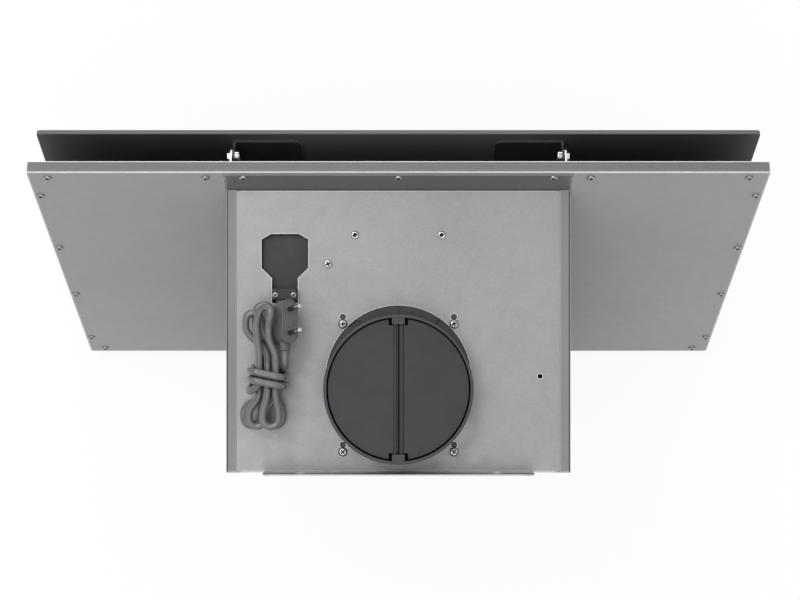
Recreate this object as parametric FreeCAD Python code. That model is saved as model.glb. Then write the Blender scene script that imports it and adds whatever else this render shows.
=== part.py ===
import FreeCAD, Part
import math
import os

# Inclined wall cooker hood, 60 cm wide, with its chimney cover off.
# A motor box hangs on the wall and carries a thin sloping tray; a black glass
# panel hangs in front of the tray, and air is drawn in round the glass.
# Millimetres. +Z is up, +Y points into the wall, +X is to the right of someone
# who faces the hood. The origin is midway between the two wall hooks' holes.

V = FreeCAD.Vector

# ---------------------------------------------------------------- driving sizes
SHEET = 1.0                 # steel sheet of tray, covers and box
GAP = 0.4                   # play beside a loose-fitting sheet

SLOPE = 66.0                # slope of tray and glass from the horizontal, degrees
RIM_Y, RIM_Z = -244.3, 13.0   # rear top edge of the tray
TRAY_W, TRAY_L, TRAY_T = 600.0, 375.0, 10.5
RIM_LEDGE = 13.0            # width of the tray's turned-in ledge
CORNER_R = 3.5              # lower corners of the tray

BOX_W = 282.0               # motor box, outside
BOX_TOP, BOX_BOTTOM = -15.0, -300.0
STRIP_W = 8.3               # strip of each side panel beside the top panel

GLASS_W, GLASS_L, GLASS_T = 590.0, 368.0, 4.0
GLASS_TOP, GLASS_BACK = 3.5, 37.0   # down the slope, and in front of the tray's back
PIVOT_U, PIVOT_T = 17.0, 24.0       # glass pivot line, in the same way
PIVOT_R = 3.0
RUN_CLEAR = 0.05            # radial clearance of a turning fit

FILTER_W, FILTER_L, FILTER_T = 250.0, 260.0, 9.0
FILTER_TOP = 60.0
FILTER_BAR = 12.0
LATCH_TRAVEL = 5.0

HOLE_SPACING = 160.0        # wall hooks' holes
HOLE_R = 4.0
FLANGE_W, FLANGE_TOP = 220.0, 15.0
LOW_HOLE_SPACING, LOW_HOLE_Z, LOW_HOLE_R = 220.0, -270.0, 3.0

SPIGOT_Y = -69.5
SPIGOT_R, SPIGOT_WALL, SPIGOT_TOP = 60.5, 2.3, 15.0
COLLAR_FOOT, NECK_R = -12.5, 59.9   # the collar stands on a slimmer neck
SPIGOT_SCREW_X, SPIGOT_SCREW_Y = 45.5, 52.35   # from the spigot's axis
SPARE_SHIFT = 5.8           # spare holes lie this much nearer the front
FLAP_R, FLAP_T = 56.8, 1.6
FLAP_Z = 10.0               # height of the flaps' pivot lines
FLAP_PIVOT_X = 2.6
BOSS_W, BOSS_DEPTH = 10.3, 5.7

WHEEL_Y, WHEEL_Z = -98.0, -115.0    # blower axis
SCROLL_R, SCROLL_STEP = 66.0, 8.0   # first scroll radius, and its growth each quarter turn
SCROLL_HALF_W, SCROLL_WALL = 59.2, 1.5
NECK_FRONT = -129.0
WHEEL_R, WHEEL_INNER_R, WHEEL_HALF_W = 58.0, 47.0, 50.5
BLADES = 26
SHAFT_R = 4.0
MOTOR_R, MOTOR_X0, MOTOR_X1 = 36.0, 6.0, 62.7

KEY_X = 93.0                # cable outlet's centre line
EL_X0, EL_X1, EL_Y0, EL_Y1 = 66.0, 122.0, -208.0, -126.0
EL_TOP, EL_BOTTOM, EL_WALL = -22.0, -62.0, 2.0

LAMP_X, LAMP_Y, LAMP_R = 75.0, -52.0, 28.0

CORD_D = 6.0                # round lead
LAY_Z = BOX_TOP + CORD_D / 2 + 0.2  # centre line of a cord lying on the box
CORD_EXIT = V(96.5, -141.4, LAY_Z)

HANK_X, HANK_Y = 105.5, -84.0       # middle of the hank's waist
HANK_STEP = 7.0             # one layer of the hank
HANK_COLUMN = 6.7           # columns of strands at the waist
WRAP_SIDE, WRAP_CORNER, WRAP_PITCH = 13.6, 7.0, 6.9
TAIL = CORD_D               # straight end of the wound tube

PLUG_CENTRE = V(91.5, -123.5, 14.5)
PLUG_TURN = (-4.0, -30.0, 10.0)     # about Z, then Y, then X
PLUG_L, PLUG_T, PLUG_DEPTH = 36.0, 14.0, 18.0
PLUG_BOOT = 5.0
PIN_PITCH, PIN_R, PIN_L, SLEEVE_L = 19.0, 2.0, 19.0, 10.0

half = BOX_W / 2


# ---------------------------------------------------------------- helpers
def box(x0, x1, y0, y1, z0, z1):
    return Part.makeBox(x1 - x0, y1 - y0, z1 - z0, V(x0, y0, z0))


def rod(radius, start, end):
    axis = end.sub(start)
    return Part.makeCylinder(radius, axis.Length, start, axis)


def prism(points, along):
    """A closed outline of points, pushed out along a vector."""
    return Part.Face(Part.makePolygon(points + [points[0]])).extrude(along)


def side_prism(points_yz, x0, x1):
    return prism([V(x0, y, z) for y, z in points_yz], V(x1 - x0, 0, 0))


def fuse(shapes):
    return shapes[0].fuse(shapes[1:]).removeSplitter()


def cut(shape, tools):
    return shape.cut(tools).removeSplitter()


def mirror(shape):
    return shape.mirror(V(0, 0, 0), V(1, 0, 0))


def upright_edges(shape, direction, test):
    """The straight edges along a direction whose middle passes a test."""
    found = []
    for edge in shape.Edges:
        if isinstance(edge.Curve, Part.Line) and edge.Curve.Direction.cross(direction).Length < 1e-6:
            if test(edge.CenterOfMass):
                found.append(edge)
    return found


def round_plate(x0, x1, y0, y1, z0, z1, radius, test=lambda p: True):
    """A plate whose corners that pass the test are rounded."""
    plate = box(x0, x1, y0, y1, z0, z1)
    return plate.makeFillet(radius, upright_edges(plate, V(0, 0, 1), test))


# The sloping parts are drawn flat, with x across, y up the slope and z towards
# the room, and then laid on the slope. u counts down the slope from the rim,
# t counts from the back of the tray towards the room.
ON_SLOPE = FreeCAD.Placement(
    V(0, RIM_Y, RIM_Z), FreeCAD.Rotation(V(1, 0, 0), 180.0 - SLOPE))


def lay(shape):
    return shape.transformed(ON_SLOPE.Matrix, True)


def slab(x0, x1, u0, u1, t0, t1):
    return box(x0, x1, -u1, -u0, t0, t1)


def pin_t(radius, x, u, t0, t1):
    """A round pin or hole across the sheets of the slope."""
    return rod(radius, V(x, -u, t0), V(x, -u, t1))


def slope_y(z):
    """Where the back of the tray stands at height z."""
    return RIM_Y + (RIM_Z - z) / math.tan(math.radians(SLOPE))


def pan_screw(at, out, head_r, head_h, shank_r, shank_l):
    """A screw whose head stands out from a sheet's face."""
    waist = at + out * head_h * 0.45
    head = Part.makeCylinder(head_r, head_h * 0.45, at, out)
    crown = Part.makeCone(head_r, head_r * 0.72, head_h * 0.55, waist, out)
    return fuse([head, crown, rod(shank_r, at, at - out * shank_l)])


nodes = {}


def keep(name, shape):
    nodes[name] = shape


# ---------------------------------------------------------------- tray and covers
COVER_U0 = SHEET + GAP
COVER_U1 = TRAY_L - SHEET - GAP
FRAME_U0 = 5.2              # the rear frame leaves a strip of the tray's ledge in view
RAIL_X0, RAIL_X1 = half - 12.0, half + 15.0
SCREW_R, SCREW_HEAD_R, SCREW_HEAD_H = 1.6, 3.3, 1.8
WING_SCREWS = [(TRAY_W / 2 - 5.3, u) for u in (41.0, 140.5, 239.5, 340.0)]
WING_SCREWS += [(156.0, 9.0), (284.0, 9.0), (285.0, 370.0 - 3.0)]
BAND_SCREWS = [(x, 9.0) for x in (-125.5, 0.0, 125.5)]
BOX_SCREWS = [(134.5, u) for u in (60.0, 190.0, 320.0)]     # join motor box and tray
all_holes = [(s * x, u) for s in (-1, 1) for x, u in WING_SCREWS] + BAND_SCREWS


def box_screw_holes(signs=(-1, 1)):
    return [pin_t(SCREW_R + RUN_CLEAR, s * x, u, -2, 3) for s in signs for x, u in BOX_SCREWS]


def lower(p):
    return p.y < -TRAY_L / 2


def body_tray():
    """Front sheet with its four sides turned back and a ledge for the covers."""
    w = TRAY_W / 2
    shell = round_plate(-w, w, -TRAY_L, 0, 0, TRAY_T, CORNER_R, lower)
    front = [e for e in shell.Edges if abs(e.CenterOfMass.z - TRAY_T) < 1e-6]
    shell = shell.makeFillet(1.2, front)
    hollow = round_plate(SHEET - w, w - SHEET, SHEET - TRAY_L, -SHEET, -1, TRAY_T - SHEET,
                         CORNER_R - SHEET, lower)
    ledge = slab(SHEET - w - 0.3, w - SHEET + 0.3, SHEET / 2, TRAY_L - SHEET / 2, SHEET, 2 * SHEET)
    corners = upright_edges(ledge, V(0, 0, 1), lower)
    ledge = ledge.makeFillet(CORNER_R - SHEET / 2, corners)
    window = slab(RIM_LEDGE - w, w - RIM_LEDGE, RIM_LEDGE, TRAY_L - RIM_LEDGE, 0, 3)
    ledge = cut(ledge, [window])
    tray = fuse([cut(shell, [hollow]), ledge])
    fw = FILTER_W / 2 + 0.6
    opening = slab(-fw, fw, FILTER_TOP - 0.6, FILTER_TOP + FILTER_L + 0.6, TRAY_T - 3, TRAY_T + 1)
    holes = [pin_t(SCREW_R + RUN_CLEAR, x, u, 0.5, 2.5) for x, u in all_holes]
    return cut(tray, [opening] + holes)


def wing_cover():
    """Flat sheet on the back of the tray, right of the motor box."""
    x1 = TRAY_W / 2 - SHEET - GAP

    def outer(p):
        return lower(p) and p.x > half + 50

    plate = round_plate(half + 0.8, x1, -COVER_U1, -COVER_U0, 0, SHEET, CORNER_R - SHEET, outer)
    return cut(plate, [pin_t(SCREW_R + RUN_CLEAR, x, u, -1, 2) for x, u in WING_SCREWS])


def rear_frame():
    """Sheet between the wing covers: its top shows above the motor box, and its
    window lets the filtered air into the box."""
    w = half - GAP
    plate = slab(-w, w, FRAME_U0, COVER_U1, 0, SHEET)
    lip = 10.0
    window = slab(lip - FILTER_W / 2, FILTER_W / 2 - lip, FILTER_TOP + lip,
                  FILTER_TOP + FILTER_L - lip, -1, 2)
    holes = [pin_t(SCREW_R + RUN_CLEAR, x, u, -1, 2) for x, u in BAND_SCREWS]
    return cut(plate, [window] + holes + box_screw_holes())


def tray_rail():
    """Folded rail that closes the tray beside the filter and carries the inner
    edge of the wing cover."""
    u0, u1 = RIM_LEDGE + GAP, TRAY_L - RIM_LEDGE - GAP
    flange = slab(RAIL_X0, RAIL_X1, u0, u1, SHEET, 2 * SHEET)
    web = slab(RAIL_X0, RAIL_X0 + SHEET, u0, u1, SHEET, TRAY_T - SHEET)
    foot = slab(RAIL_X0, RAIL_X0 + 12, u0, u1, TRAY_T - 2 * SHEET, TRAY_T - SHEET)
    return cut(fuse([flange, web, foot]), box_screw_holes([1]))


def slope_screws(places, t=0.0):
    """Screws whose heads lie on the rear of a sheet, t from the back of the tray."""
    return Part.makeCompound([
        lay(pan_screw(V(x, -u, t), V(0, 0, -1), SCREW_HEAD_R, SCREW_HEAD_H, SCREW_R, 3.0 - t))
        for x, u in places])


keep("body_tray", lay(body_tray()))
keep("wing_cover_right", lay(wing_cover()))
keep("wing_cover_left", lay(mirror(wing_cover())))
keep("rear_frame", lay(rear_frame()))
keep("tray_rail_right", lay(tray_rail()))
keep("tray_rail_left", lay(mirror(tray_rail())))
keep("cover_screws", slope_screws([(s * x, u) for s in (-1, 1) for x, u in WING_SCREWS]))
keep("frame_screws", slope_screws(BAND_SCREWS))
keep("box_screws", slope_screws([(s * x, u) for s in (-1, 1) for x, u in BOX_SCREWS], -SHEET))


# ---------------------------------------------------------------- grease filter
POCKET_W, POCKET_L = 34.0, 20.0
LATCH_T0 = 6.0
MESH_RIDGES = 12


def filter_frame():
    """Aluminium frame with a thicker block that holds the latch."""
    w, u0, u1 = FILTER_W / 2, FILTER_TOP, FILTER_TOP + FILTER_L
    t0, t1 = SHEET, SHEET + FILTER_T
    frame = round_plate(-w, w, -u1, -u0, t0, t1, 2.0)
    window = slab(FILTER_BAR - w, w - FILTER_BAR, u0 + FILTER_BAR, u1 - FILTER_BAR, t0 - 1, t1 + 1)
    block = slab(-22, 22, u0 + 2, u0 + POCKET_L + 6, t0, t1)
    frame = fuse([cut(frame, [window]), block])
    pocket = slab(-POCKET_W / 2, POCKET_W / 2, u0 - 1, u0 + POCKET_L, LATCH_T0 - 0.2, t1 + 1)
    return cut(frame, [pocket])


def filter_mesh():
    """Pleated mesh pack in the frame's window."""
    w = FILTER_W / 2 - FILTER_BAR - 0.1
    pitch = 2 * w / MESH_RIDGES
    low, high, skin = 2.6, 7.0, 1.2
    upper = []
    for i in range(MESH_RIDGES):
        upper += [(-w + i * pitch, low), (-w + (i + 0.5) * pitch, high)]
    upper.append((w, low))
    outline = [(x, t + skin) for x, t in upper] + [(x, t) for x, t in reversed(upper)]
    u0, u1 = FILTER_TOP + FILTER_BAR + 0.1, FILTER_TOP + FILTER_L - FILTER_BAR - 0.1
    pleats = prism([V(x, -u1, t) for x, t in outline], V(0, u1 - u0, 0))
    block = slab(-22.1, 22.1, u0 - 1, FILTER_TOP + POCKET_L + 6.1, 0, 11)
    return cut(pleats, [block])


def filter_latch():
    """Sliding catch with a finger cup; its tongue reaches behind the tray's edge."""
    u0 = FILTER_TOP - LATCH_TRAVEL
    w = POCKET_W / 2 - 0.6
    slider = slab(-w, w, FILTER_TOP + 0.4, FILTER_TOP + 14, LATCH_T0, LATCH_T0 + 3.6)
    tongue = slab(-w + 5, w - 5, u0, FILTER_TOP + 2, LATCH_T0, LATCH_T0 + 2.4)
    cup = slab(6 - w, w - 6, FILTER_TOP + 4, FILTER_TOP + 11, LATCH_T0 + 1.4, LATCH_T0 + 5)
    return cut(fuse([slider, tongue]), [cup])


keep("filter_frame", lay(filter_frame()))
keep("filter_mesh", lay(filter_mesh()))
keep("filter_latch", lay(filter_latch()))


# ---------------------------------------------------------------- glass and its hinges
EAR_X0, EAR_X1 = 133.7, 135.2       # glass plate's ear
BRACKET_X0, BRACKET_X1 = 135.5, 137.0
PLATE_X0 = 79.0
PLATE_U0, PLATE_U1, PLATE_T = 14.4, 64.0, 1.5
KNUCKLE_R = 6.6
PIVOT_HEAD_R, PIVOT_HEAD_L = 4.6, 4.4


def glass_panel():
    w, u1 = GLASS_W / 2, GLASS_TOP + GLASS_L
    pane = round_plate(-w, w, -u1, -GLASS_TOP, GLASS_BACK, GLASS_BACK + GLASS_T, 2.5)
    rims = [e for e in pane.Edges if abs(e.CenterOfMass.z - GLASS_BACK - GLASS_T) < 1e-6]
    return pane.makeChamfer(0.6, rims)


def pivot_rod(radius, x0, x1):
    return rod(radius, V(x0, -PIVOT_U, PIVOT_T), V(x1, -PIVOT_U, PIVOT_T))


def glass_plate():
    """Plate bonded to the back of the glass, with an ear that turns on the pivot."""
    plate = round_plate(PLATE_X0, EAR_X1, -PLATE_U1, -PLATE_U0, GLASS_BACK - PLATE_T, GLASS_BACK,
                        7.0, lambda p: p.x < 100)
    root = slab(EAR_X0, EAR_X1, PLATE_U0, 34, GLASS_BACK - 6, GLASS_BACK)
    ear = side_prism([(-PLATE_U0, GLASS_BACK - 5), (-34, GLASS_BACK - 5),
                      (-PIVOT_U - KNUCKLE_R, PIVOT_T), (-PIVOT_U + KNUCKLE_R, PIVOT_T)],
                     EAR_X0, EAR_X1)
    arm = fuse([plate, root, ear, pivot_rod(KNUCKLE_R, EAR_X0, EAR_X1)])
    return cut(arm, [pivot_rod(PIVOT_R + RUN_CLEAR, EAR_X0 - 1, EAR_X1 + 1)])


def hinge_bracket():
    """Angle bracket on the tray's front with an ear outside the glass plate's ear."""
    foot = round_plate(96, BRACKET_X1, -38, -6, TRAY_T, TRAY_T + 1.5, 4.0, lambda p: p.x < 100)
    web = side_prism([(-7, TRAY_T), (-32, TRAY_T), (-PIVOT_U - KNUCKLE_R, PIVOT_T),
                      (-PIVOT_U + KNUCKLE_R, PIVOT_T)], BRACKET_X0, BRACKET_X1)
    arm = fuse([foot, web, pivot_rod(KNUCKLE_R, BRACKET_X0, BRACKET_X1)])
    return cut(arm, [pivot_rod(2.5, BRACKET_X0 - 1, BRACKET_X1 + 1)])


def pivot_screw():
    """Shoulder screw: head inside the ear, nut outside the bracket."""
    nut_side = V(BRACKET_X1, -PIVOT_U, PIVOT_T)
    nut = hexagon_x(nut_side, PIVOT_HEAD_R, 2.6)
    x0 = EAR_X0 - PIVOT_HEAD_L
    head = pivot_rod(PIVOT_HEAD_R, x0, EAR_X0 - 0.2)
    head = head.makeFillet(1.6, [e for e in head.Edges if e.CenterOfMass.x < x0 + 0.2])
    slot = box(x0 - 1, x0 + 1, -PIVOT_U - 6, -PIVOT_U + 6, PIVOT_T - 0.6, PIVOT_T + 0.6)
    return cut(fuse([head, pivot_rod(PIVOT_R, EAR_X0 - 0.3, BRACKET_X0),
                     pivot_rod(2.45, BRACKET_X0 - 0.1, BRACKET_X1 + 0.1), nut]), [slot])


def hexagon_x(at, across, height):
    corners = [at + V(0, across * math.cos(k * math.pi / 3), across * math.sin(k * math.pi / 3))
               for k in range(6)]
    return prism(corners, V(height, 0, 0))


MAGNET_X, MAGNET_U = 230.0, 352.0
KEEPER_T = 1.8


def magnet_catch():
    """Moulded post on the tray with a magnet at its tip."""
    t1 = GLASS_BACK - KEEPER_T - 0.2
    foot = round_plate(MAGNET_X - 17, MAGNET_X + 17, -MAGNET_U - 9, -MAGNET_U + 9, TRAY_T, TRAY_T + 2, 4.0)
    post = round_plate(MAGNET_X - 11, MAGNET_X + 11, -MAGNET_U - 6, -MAGNET_U + 6, TRAY_T + 1, t1, 3.0)
    return fuse([foot, post])


def keepers():
    plate = round_plate(MAGNET_X - 13, MAGNET_X + 13, -MAGNET_U - 8, -MAGNET_U + 8,
                        GLASS_BACK - KEEPER_T, GLASS_BACK, 3.0)
    return Part.makeCompound([lay(plate), lay(mirror(plate))])


def touch_module():
    """Control electronics bonded to the back of the glass, low in the middle."""
    u0, u1 = 316.0, 360.0
    case = round_plate(-95, 95, -u1, -u0, GLASS_BACK - 13, GLASS_BACK, 4.0)
    back = [e for e in case.Edges if abs(e.CenterOfMass.z - GLASS_BACK + 13) < 1e-6]
    case = case.makeFillet(1.5, back)
    vents = [slab(x - 1, x + 1, u0 + 12, u1 - 12, GLASS_BACK - 14, GLASS_BACK - 11)
             for x in (50.0, 56.0, 62.0, 68.0, 74.0)]
    return cut(case, vents)


keep("glass_panel", lay(glass_panel()))
keep("glass_hinge_plate_right", lay(glass_plate()))
keep("glass_hinge_plate_left", lay(mirror(glass_plate())))
keep("hinge_bracket_right", lay(hinge_bracket()))
keep("hinge_bracket_left", lay(mirror(hinge_bracket())))
keep("pivot_screws", Part.makeCompound([lay(pivot_screw()), lay(mirror(pivot_screw()))]))
keep("magnet_catch_right", lay(magnet_catch()))
keep("magnet_catch_left", lay(mirror(magnet_catch())))
keep("catch_keepers", keepers())
keep("touch_module", lay(touch_module()))


# ---------------------------------------------------------------- motor box
LEDGE_X = 124.0             # inner edge of the ledge under the top panel
FLANGE_X = 128.0            # inner edge of the flange behind the rear frame


def side_panel():
    """Right wall of the box, turned in at the top, stepped under the top panel, and
    turned in along the slope, where it is screwed to the rear frame."""
    top, bottom = BOX_TOP, BOX_BOTTOM
    outline = [(slope_y(top), top), (0, top), (0, bottom), (slope_y(bottom), bottom)]
    wall = side_prism(outline, half - SHEET, half)
    inner = half - STRIP_W

    def strip(x0, x1, z1):
        z0 = z1 - SHEET
        return side_prism([(slope_y(z0) + 0.1, z1), (-SHEET, z1), (-SHEET, z0), (slope_y(z0) + 0.1, z0)],
                          x0, x1)

    flange = strip(inner, half - SHEET / 2, top)
    step = box(inner, inner + SHEET, slope_y(top) + 1, -SHEET, top - 2 * SHEET, top - SHEET / 2)
    ledge = strip(LEDGE_X, inner + SHEET, top - SHEET)
    base = box(LEDGE_X, half - SHEET / 2, slope_y(bottom) + 1, -SHEET, bottom + SHEET, bottom + 2 * SHEET)
    front = lay(slab(FLANGE_X, half - SHEET / 2, 32.6, 340.0, -SHEET, 0))
    holes = [lay(hole) for hole in box_screw_holes([1])]
    return cut(fuse([wall, flange, step, ledge, base, front]), holes)


def back_panel():
    """Wall plate whose tab stands above the box and hangs on two hooks."""
    w = half - SHEET - 0.1
    plate = box(-w, w, -SHEET, 0, BOX_BOTTOM + SHEET, BOX_TOP - SHEET)
    tab = box(-FLANGE_W / 2, FLANGE_W / 2, -SHEET, 0, BOX_TOP - SHEET, FLANGE_TOP)
    top = upright_edges(tab, V(0, 1, 0), lambda p: p.z > 0)
    tab = tab.makeFillet(8.0, top)
    panel = fuse([plate, tab])
    holes = [rod(HOLE_R, V(s * HOLE_SPACING / 2, -3, 0), V(s * HOLE_SPACING / 2, 1, 0)) for s in (-1, 1)]
    holes += [rod(LOW_HOLE_R, V(s * LOW_HOLE_SPACING / 2, -3, LOW_HOLE_Z),
                  V(s * LOW_HOLE_SPACING / 2, 1, LOW_HOLE_Z)) for s in (-1, 1)]
    return cut(panel, holes)


def spigot_screw_places():
    return [(sx * SPIGOT_SCREW_X, SPIGOT_Y + sy * SPIGOT_SCREW_Y) for sx in (-1, 1) for sy in (-1, 1)]


BLOWER_RIVETS = [(-35.5, -194.7), (35.5, -194.7)]
BOX_SCREW = (57.7, -171.0)
PLAIN_HOLE = (-116.0, -79.0)
DUCT_CUT_Y, DUCT_CUT_R = -77.6, 59.5    # front part of the duct cut-out


def cable_outlet(z0, z1):
    """Octagonal head and neck of the cut-out that the lead comes out of."""
    right = [(11.45, -195.7), (19.2, -191.2), (19.2, -167.7), (10.65, -159.4), (10.65, -139.0)]
    points = right + [(-x, y) for x, y in reversed(right)]
    return prism([V(KEY_X + x, y, z0) for x, y in points], V(0, 0, z1 - z0))


def hole_z(radius, x, y, z0, z1):
    return rod(radius, V(x, y, z0), V(x, y, z1))


def top_panel():
    """Galvanised top of the box with the duct cut-out and the cable outlet."""
    w = half - STRIP_W - 0.3
    z0, z1 = BOX_TOP - SHEET, BOX_TOP
    plate = box(-w, w, slope_y(z1) + 0.9, -SHEET - 0.2, z0, z1)
    holes = [hole_z(SPIGOT_R + 0.5, 0, SPIGOT_Y, z0 - 1, z1 + 1),
             hole_z(DUCT_CUT_R, 0, DUCT_CUT_Y, z0 - 1, z1 + 1),
             cable_outlet(z0 - 1, z1 + 1)]
    holes += [hole_z(2.1, x, y, z0 - 1, z1 + 1) for x, y in spigot_screw_places()]
    holes += [hole_z(2.6, x, y - SPARE_SHIFT, z0 - 1, z1 + 1) for x, y in spigot_screw_places()]
    holes += [hole_z(3.1, x, y, z0 - 1, z1 + 1) for x, y in BLOWER_RIVETS]
    holes += [hole_z(2.1, *BOX_SCREW, z0 - 1, z1 + 1), hole_z(2.0, *PLAIN_HOLE, z0 - 1, z1 + 1)]
    return cut(plate, holes)


def bottom_panel():
    w = half - SHEET - 0.1
    plate = box(-w, w, slope_y(BOX_BOTTOM) + 0.5, -SHEET - 0.2, BOX_BOTTOM, BOX_BOTTOM + SHEET)
    holes = [hole_z(LAMP_R + 0.2, s * LAMP_X, LAMP_Y, BOX_BOTTOM - 1, BOX_BOTTOM + 2) for s in (-1, 1)]
    return cut(plate, holes)


keep("side_panel_right", side_panel())
keep("side_panel_left", mirror(side_panel()))
keep("back_panel", back_panel())
keep("top_panel", top_panel())
keep("bottom_panel", bottom_panel())


def lamp_housing(x):
    """Spotlight can with its bezel under the bottom panel."""
    z = BOX_BOTTOM
    profile = [(0, z + 18), (LAMP_R - 4, z + 18), (LAMP_R, z + 12), (LAMP_R, z), (LAMP_R + 5, z),
               (LAMP_R + 5, z - 1), (LAMP_R + 3.5, z - 2), (LAMP_R - 4, z - 2), (LAMP_R - 4, z + 4), (0, z + 4)]
    face = Part.Face(Part.makePolygon([V(r, 0, h) for r, h in profile + profile[:1]]))
    can = face.revolve(V(0, 0, 0), V(0, 0, 1), 360)
    can.translate(V(x, LAMP_Y, 0))
    return can


def lamp_lens(x):
    z = BOX_BOTTOM
    return hole_z(LAMP_R - 4.1, x, LAMP_Y, z - 1.4, z + 1.6)


for side, sign in (("right", 1), ("left", -1)):
    keep("lamp_housing_" + side, lamp_housing(sign * LAMP_X))
    keep("lamp_lens_" + side, lamp_lens(sign * LAMP_X))


# ---------------------------------------------------------------- duct spigot and flaps
FLANGE_Z0, FLANGE_Z1 = BOX_TOP - SHEET - 2.5, BOX_TOP - SHEET
SLOT_X0, SLOT_X1, SLOT_Y0, SLOT_Y1 = 30.5, 42.0, -124.8, -119.5
TRUNNION_R, TRUNNION_END = 1.6, 56.4


def spigot():
    """Moulded collar on a flange under the top panel, with pivot bosses inside."""
    bore_r = SPIGOT_R - SPIGOT_WALL
    flange = round_plate(-64, 64, -142.5, -3, FLANGE_Z0, FLANGE_Z1, 6.0)
    collar = hole_z(SPIGOT_R, 0, SPIGOT_Y, COLLAR_FOOT, SPIGOT_TOP)
    top_rim = [e for e in collar.Edges if abs(e.CenterOfMass.z - SPIGOT_TOP) < 1e-6]
    collar = collar.makeFillet(0.8, top_rim)
    bore = hole_z(bore_r, 0, SPIGOT_Y, FLANGE_Z0 - 1, SPIGOT_TOP + 1)
    neck = hole_z(NECK_R, 0, SPIGOT_Y, FLANGE_Z0, COLLAR_FOOT + 0.01)
    body = cut(fuse([flange, neck, collar]), [bore])
    inside = bore_r - BOSS_DEPTH
    bosses, sockets = [], []
    for s in (-1, 1):
        near, far = SPIGOT_Y + s * inside, SPIGOT_Y + s * (bore_r + 0.6)
        bosses.append(box(-BOSS_W / 2, BOSS_W / 2, min(near, far), max(near, far), FLAP_Z - 6, SPIGOT_TOP - 1))
        for x in (-FLAP_PIVOT_X, FLAP_PIVOT_X):
            sockets.append(rod(TRUNNION_R + RUN_CLEAR, V(x, near - s, FLAP_Z),
                               V(x, SPIGOT_Y + s * (TRUNNION_END + 0.5), FLAP_Z)))
    body = fuse([body] + bosses)
    slots = [box(min(s * SLOT_X0, s * SLOT_X1), max(s * SLOT_X0, s * SLOT_X1), SLOT_Y0, SLOT_Y1,
                 FLANGE_Z0 - 1, FLANGE_Z1 + 1) for s in (-1, 1)]
    slit = box(-0.35, 0.35, -145, SPIGOT_Y - SPIGOT_R + 0.9, FLANGE_Z1 - 0.8, SPIGOT_TOP + 1)
    holes = [hole_z(2.1, x, y, FLANGE_Z0 - 1, FLANGE_Z1 + 1) for x, y in spigot_screw_places()]
    return cut(body, sockets + slots + [slit] + holes)


def damper_flap(barrel_r):
    """Half-disc flap on the right of the collar, with its barrel and trunnions."""
    y = SPIGOT_Y
    edge = 0.45
    disc = hole_z(FLAP_R, 0, y, FLAP_Z - FLAP_T / 2, FLAP_Z + FLAP_T / 2)
    disc = disc.common(box(edge, FLAP_R + 1, y - FLAP_R - 1, y + FLAP_R + 1, FLAP_Z - 2, FLAP_Z + 2))
    inside = SPIGOT_R - SPIGOT_WALL - BOSS_DEPTH - 0.9
    notches = [box(0, BOSS_W / 2 + 2.6, y + (inside if s > 0 else -FLAP_R - 1),
                   y + (FLAP_R + 1 if s > 0 else -inside), FLAP_Z - 2, FLAP_Z + 2) for s in (-1, 1)]
    plate = cut(disc, notches)
    barrel = rod(barrel_r, V(FLAP_PIVOT_X, y - inside, FLAP_Z), V(FLAP_PIVOT_X, y + inside, FLAP_Z))
    pins = rod(TRUNNION_R, V(FLAP_PIVOT_X, y - TRUNNION_END, FLAP_Z),
               V(FLAP_PIVOT_X, y + TRUNNION_END, FLAP_Z))
    ribs = [box(FLAP_PIVOT_X, 44, y + k - 0.8, y + k + 0.8, FLAP_Z - 3.2, FLAP_Z) for k in (-22, 22)]
    return fuse([plate, barrel, pins] + ribs)


def outlined_screws(places, z, head_r, head_h, shank_r, shank_l):
    return Part.makeCompound([pan_screw(V(x, y, z), V(0, 0, 1), head_r, head_h, shank_r, shank_l)
                              for x, y in places])


def open_rivet(x, y):
    """Blind rivet through the top panel and the blower bracket, open in the middle."""
    rivet = pan_screw(V(x, y, BOX_TOP), V(0, 0, 1), 3.8, 1.4, 3.0, 6.0)
    return cut(rivet, [hole_z(1.5, x, y, BOX_TOP - 4, BOX_TOP + 3)])


keep("duct_spigot", spigot())
keep("damper_flap_right", damper_flap(1.7))
keep("damper_flap_left", mirror(damper_flap(2.1)))
keep("spigot_screws", outlined_screws(spigot_screw_places(), BOX_TOP, 3.4, 2.2, 2.0, 9.0))
keep("blower_rivets", Part.makeCompound([open_rivet(x, y) for x, y in BLOWER_RIVETS]))
keep("control_box_screw", outlined_screws([BOX_SCREW], BOX_TOP, 3.4, 2.0, 2.0, 4.5))


# ---------------------------------------------------------------- blower
OUTLET_FLANGE_Z0 = FLANGE_Z0 - 2.0
INLET_R = 44.0


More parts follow.
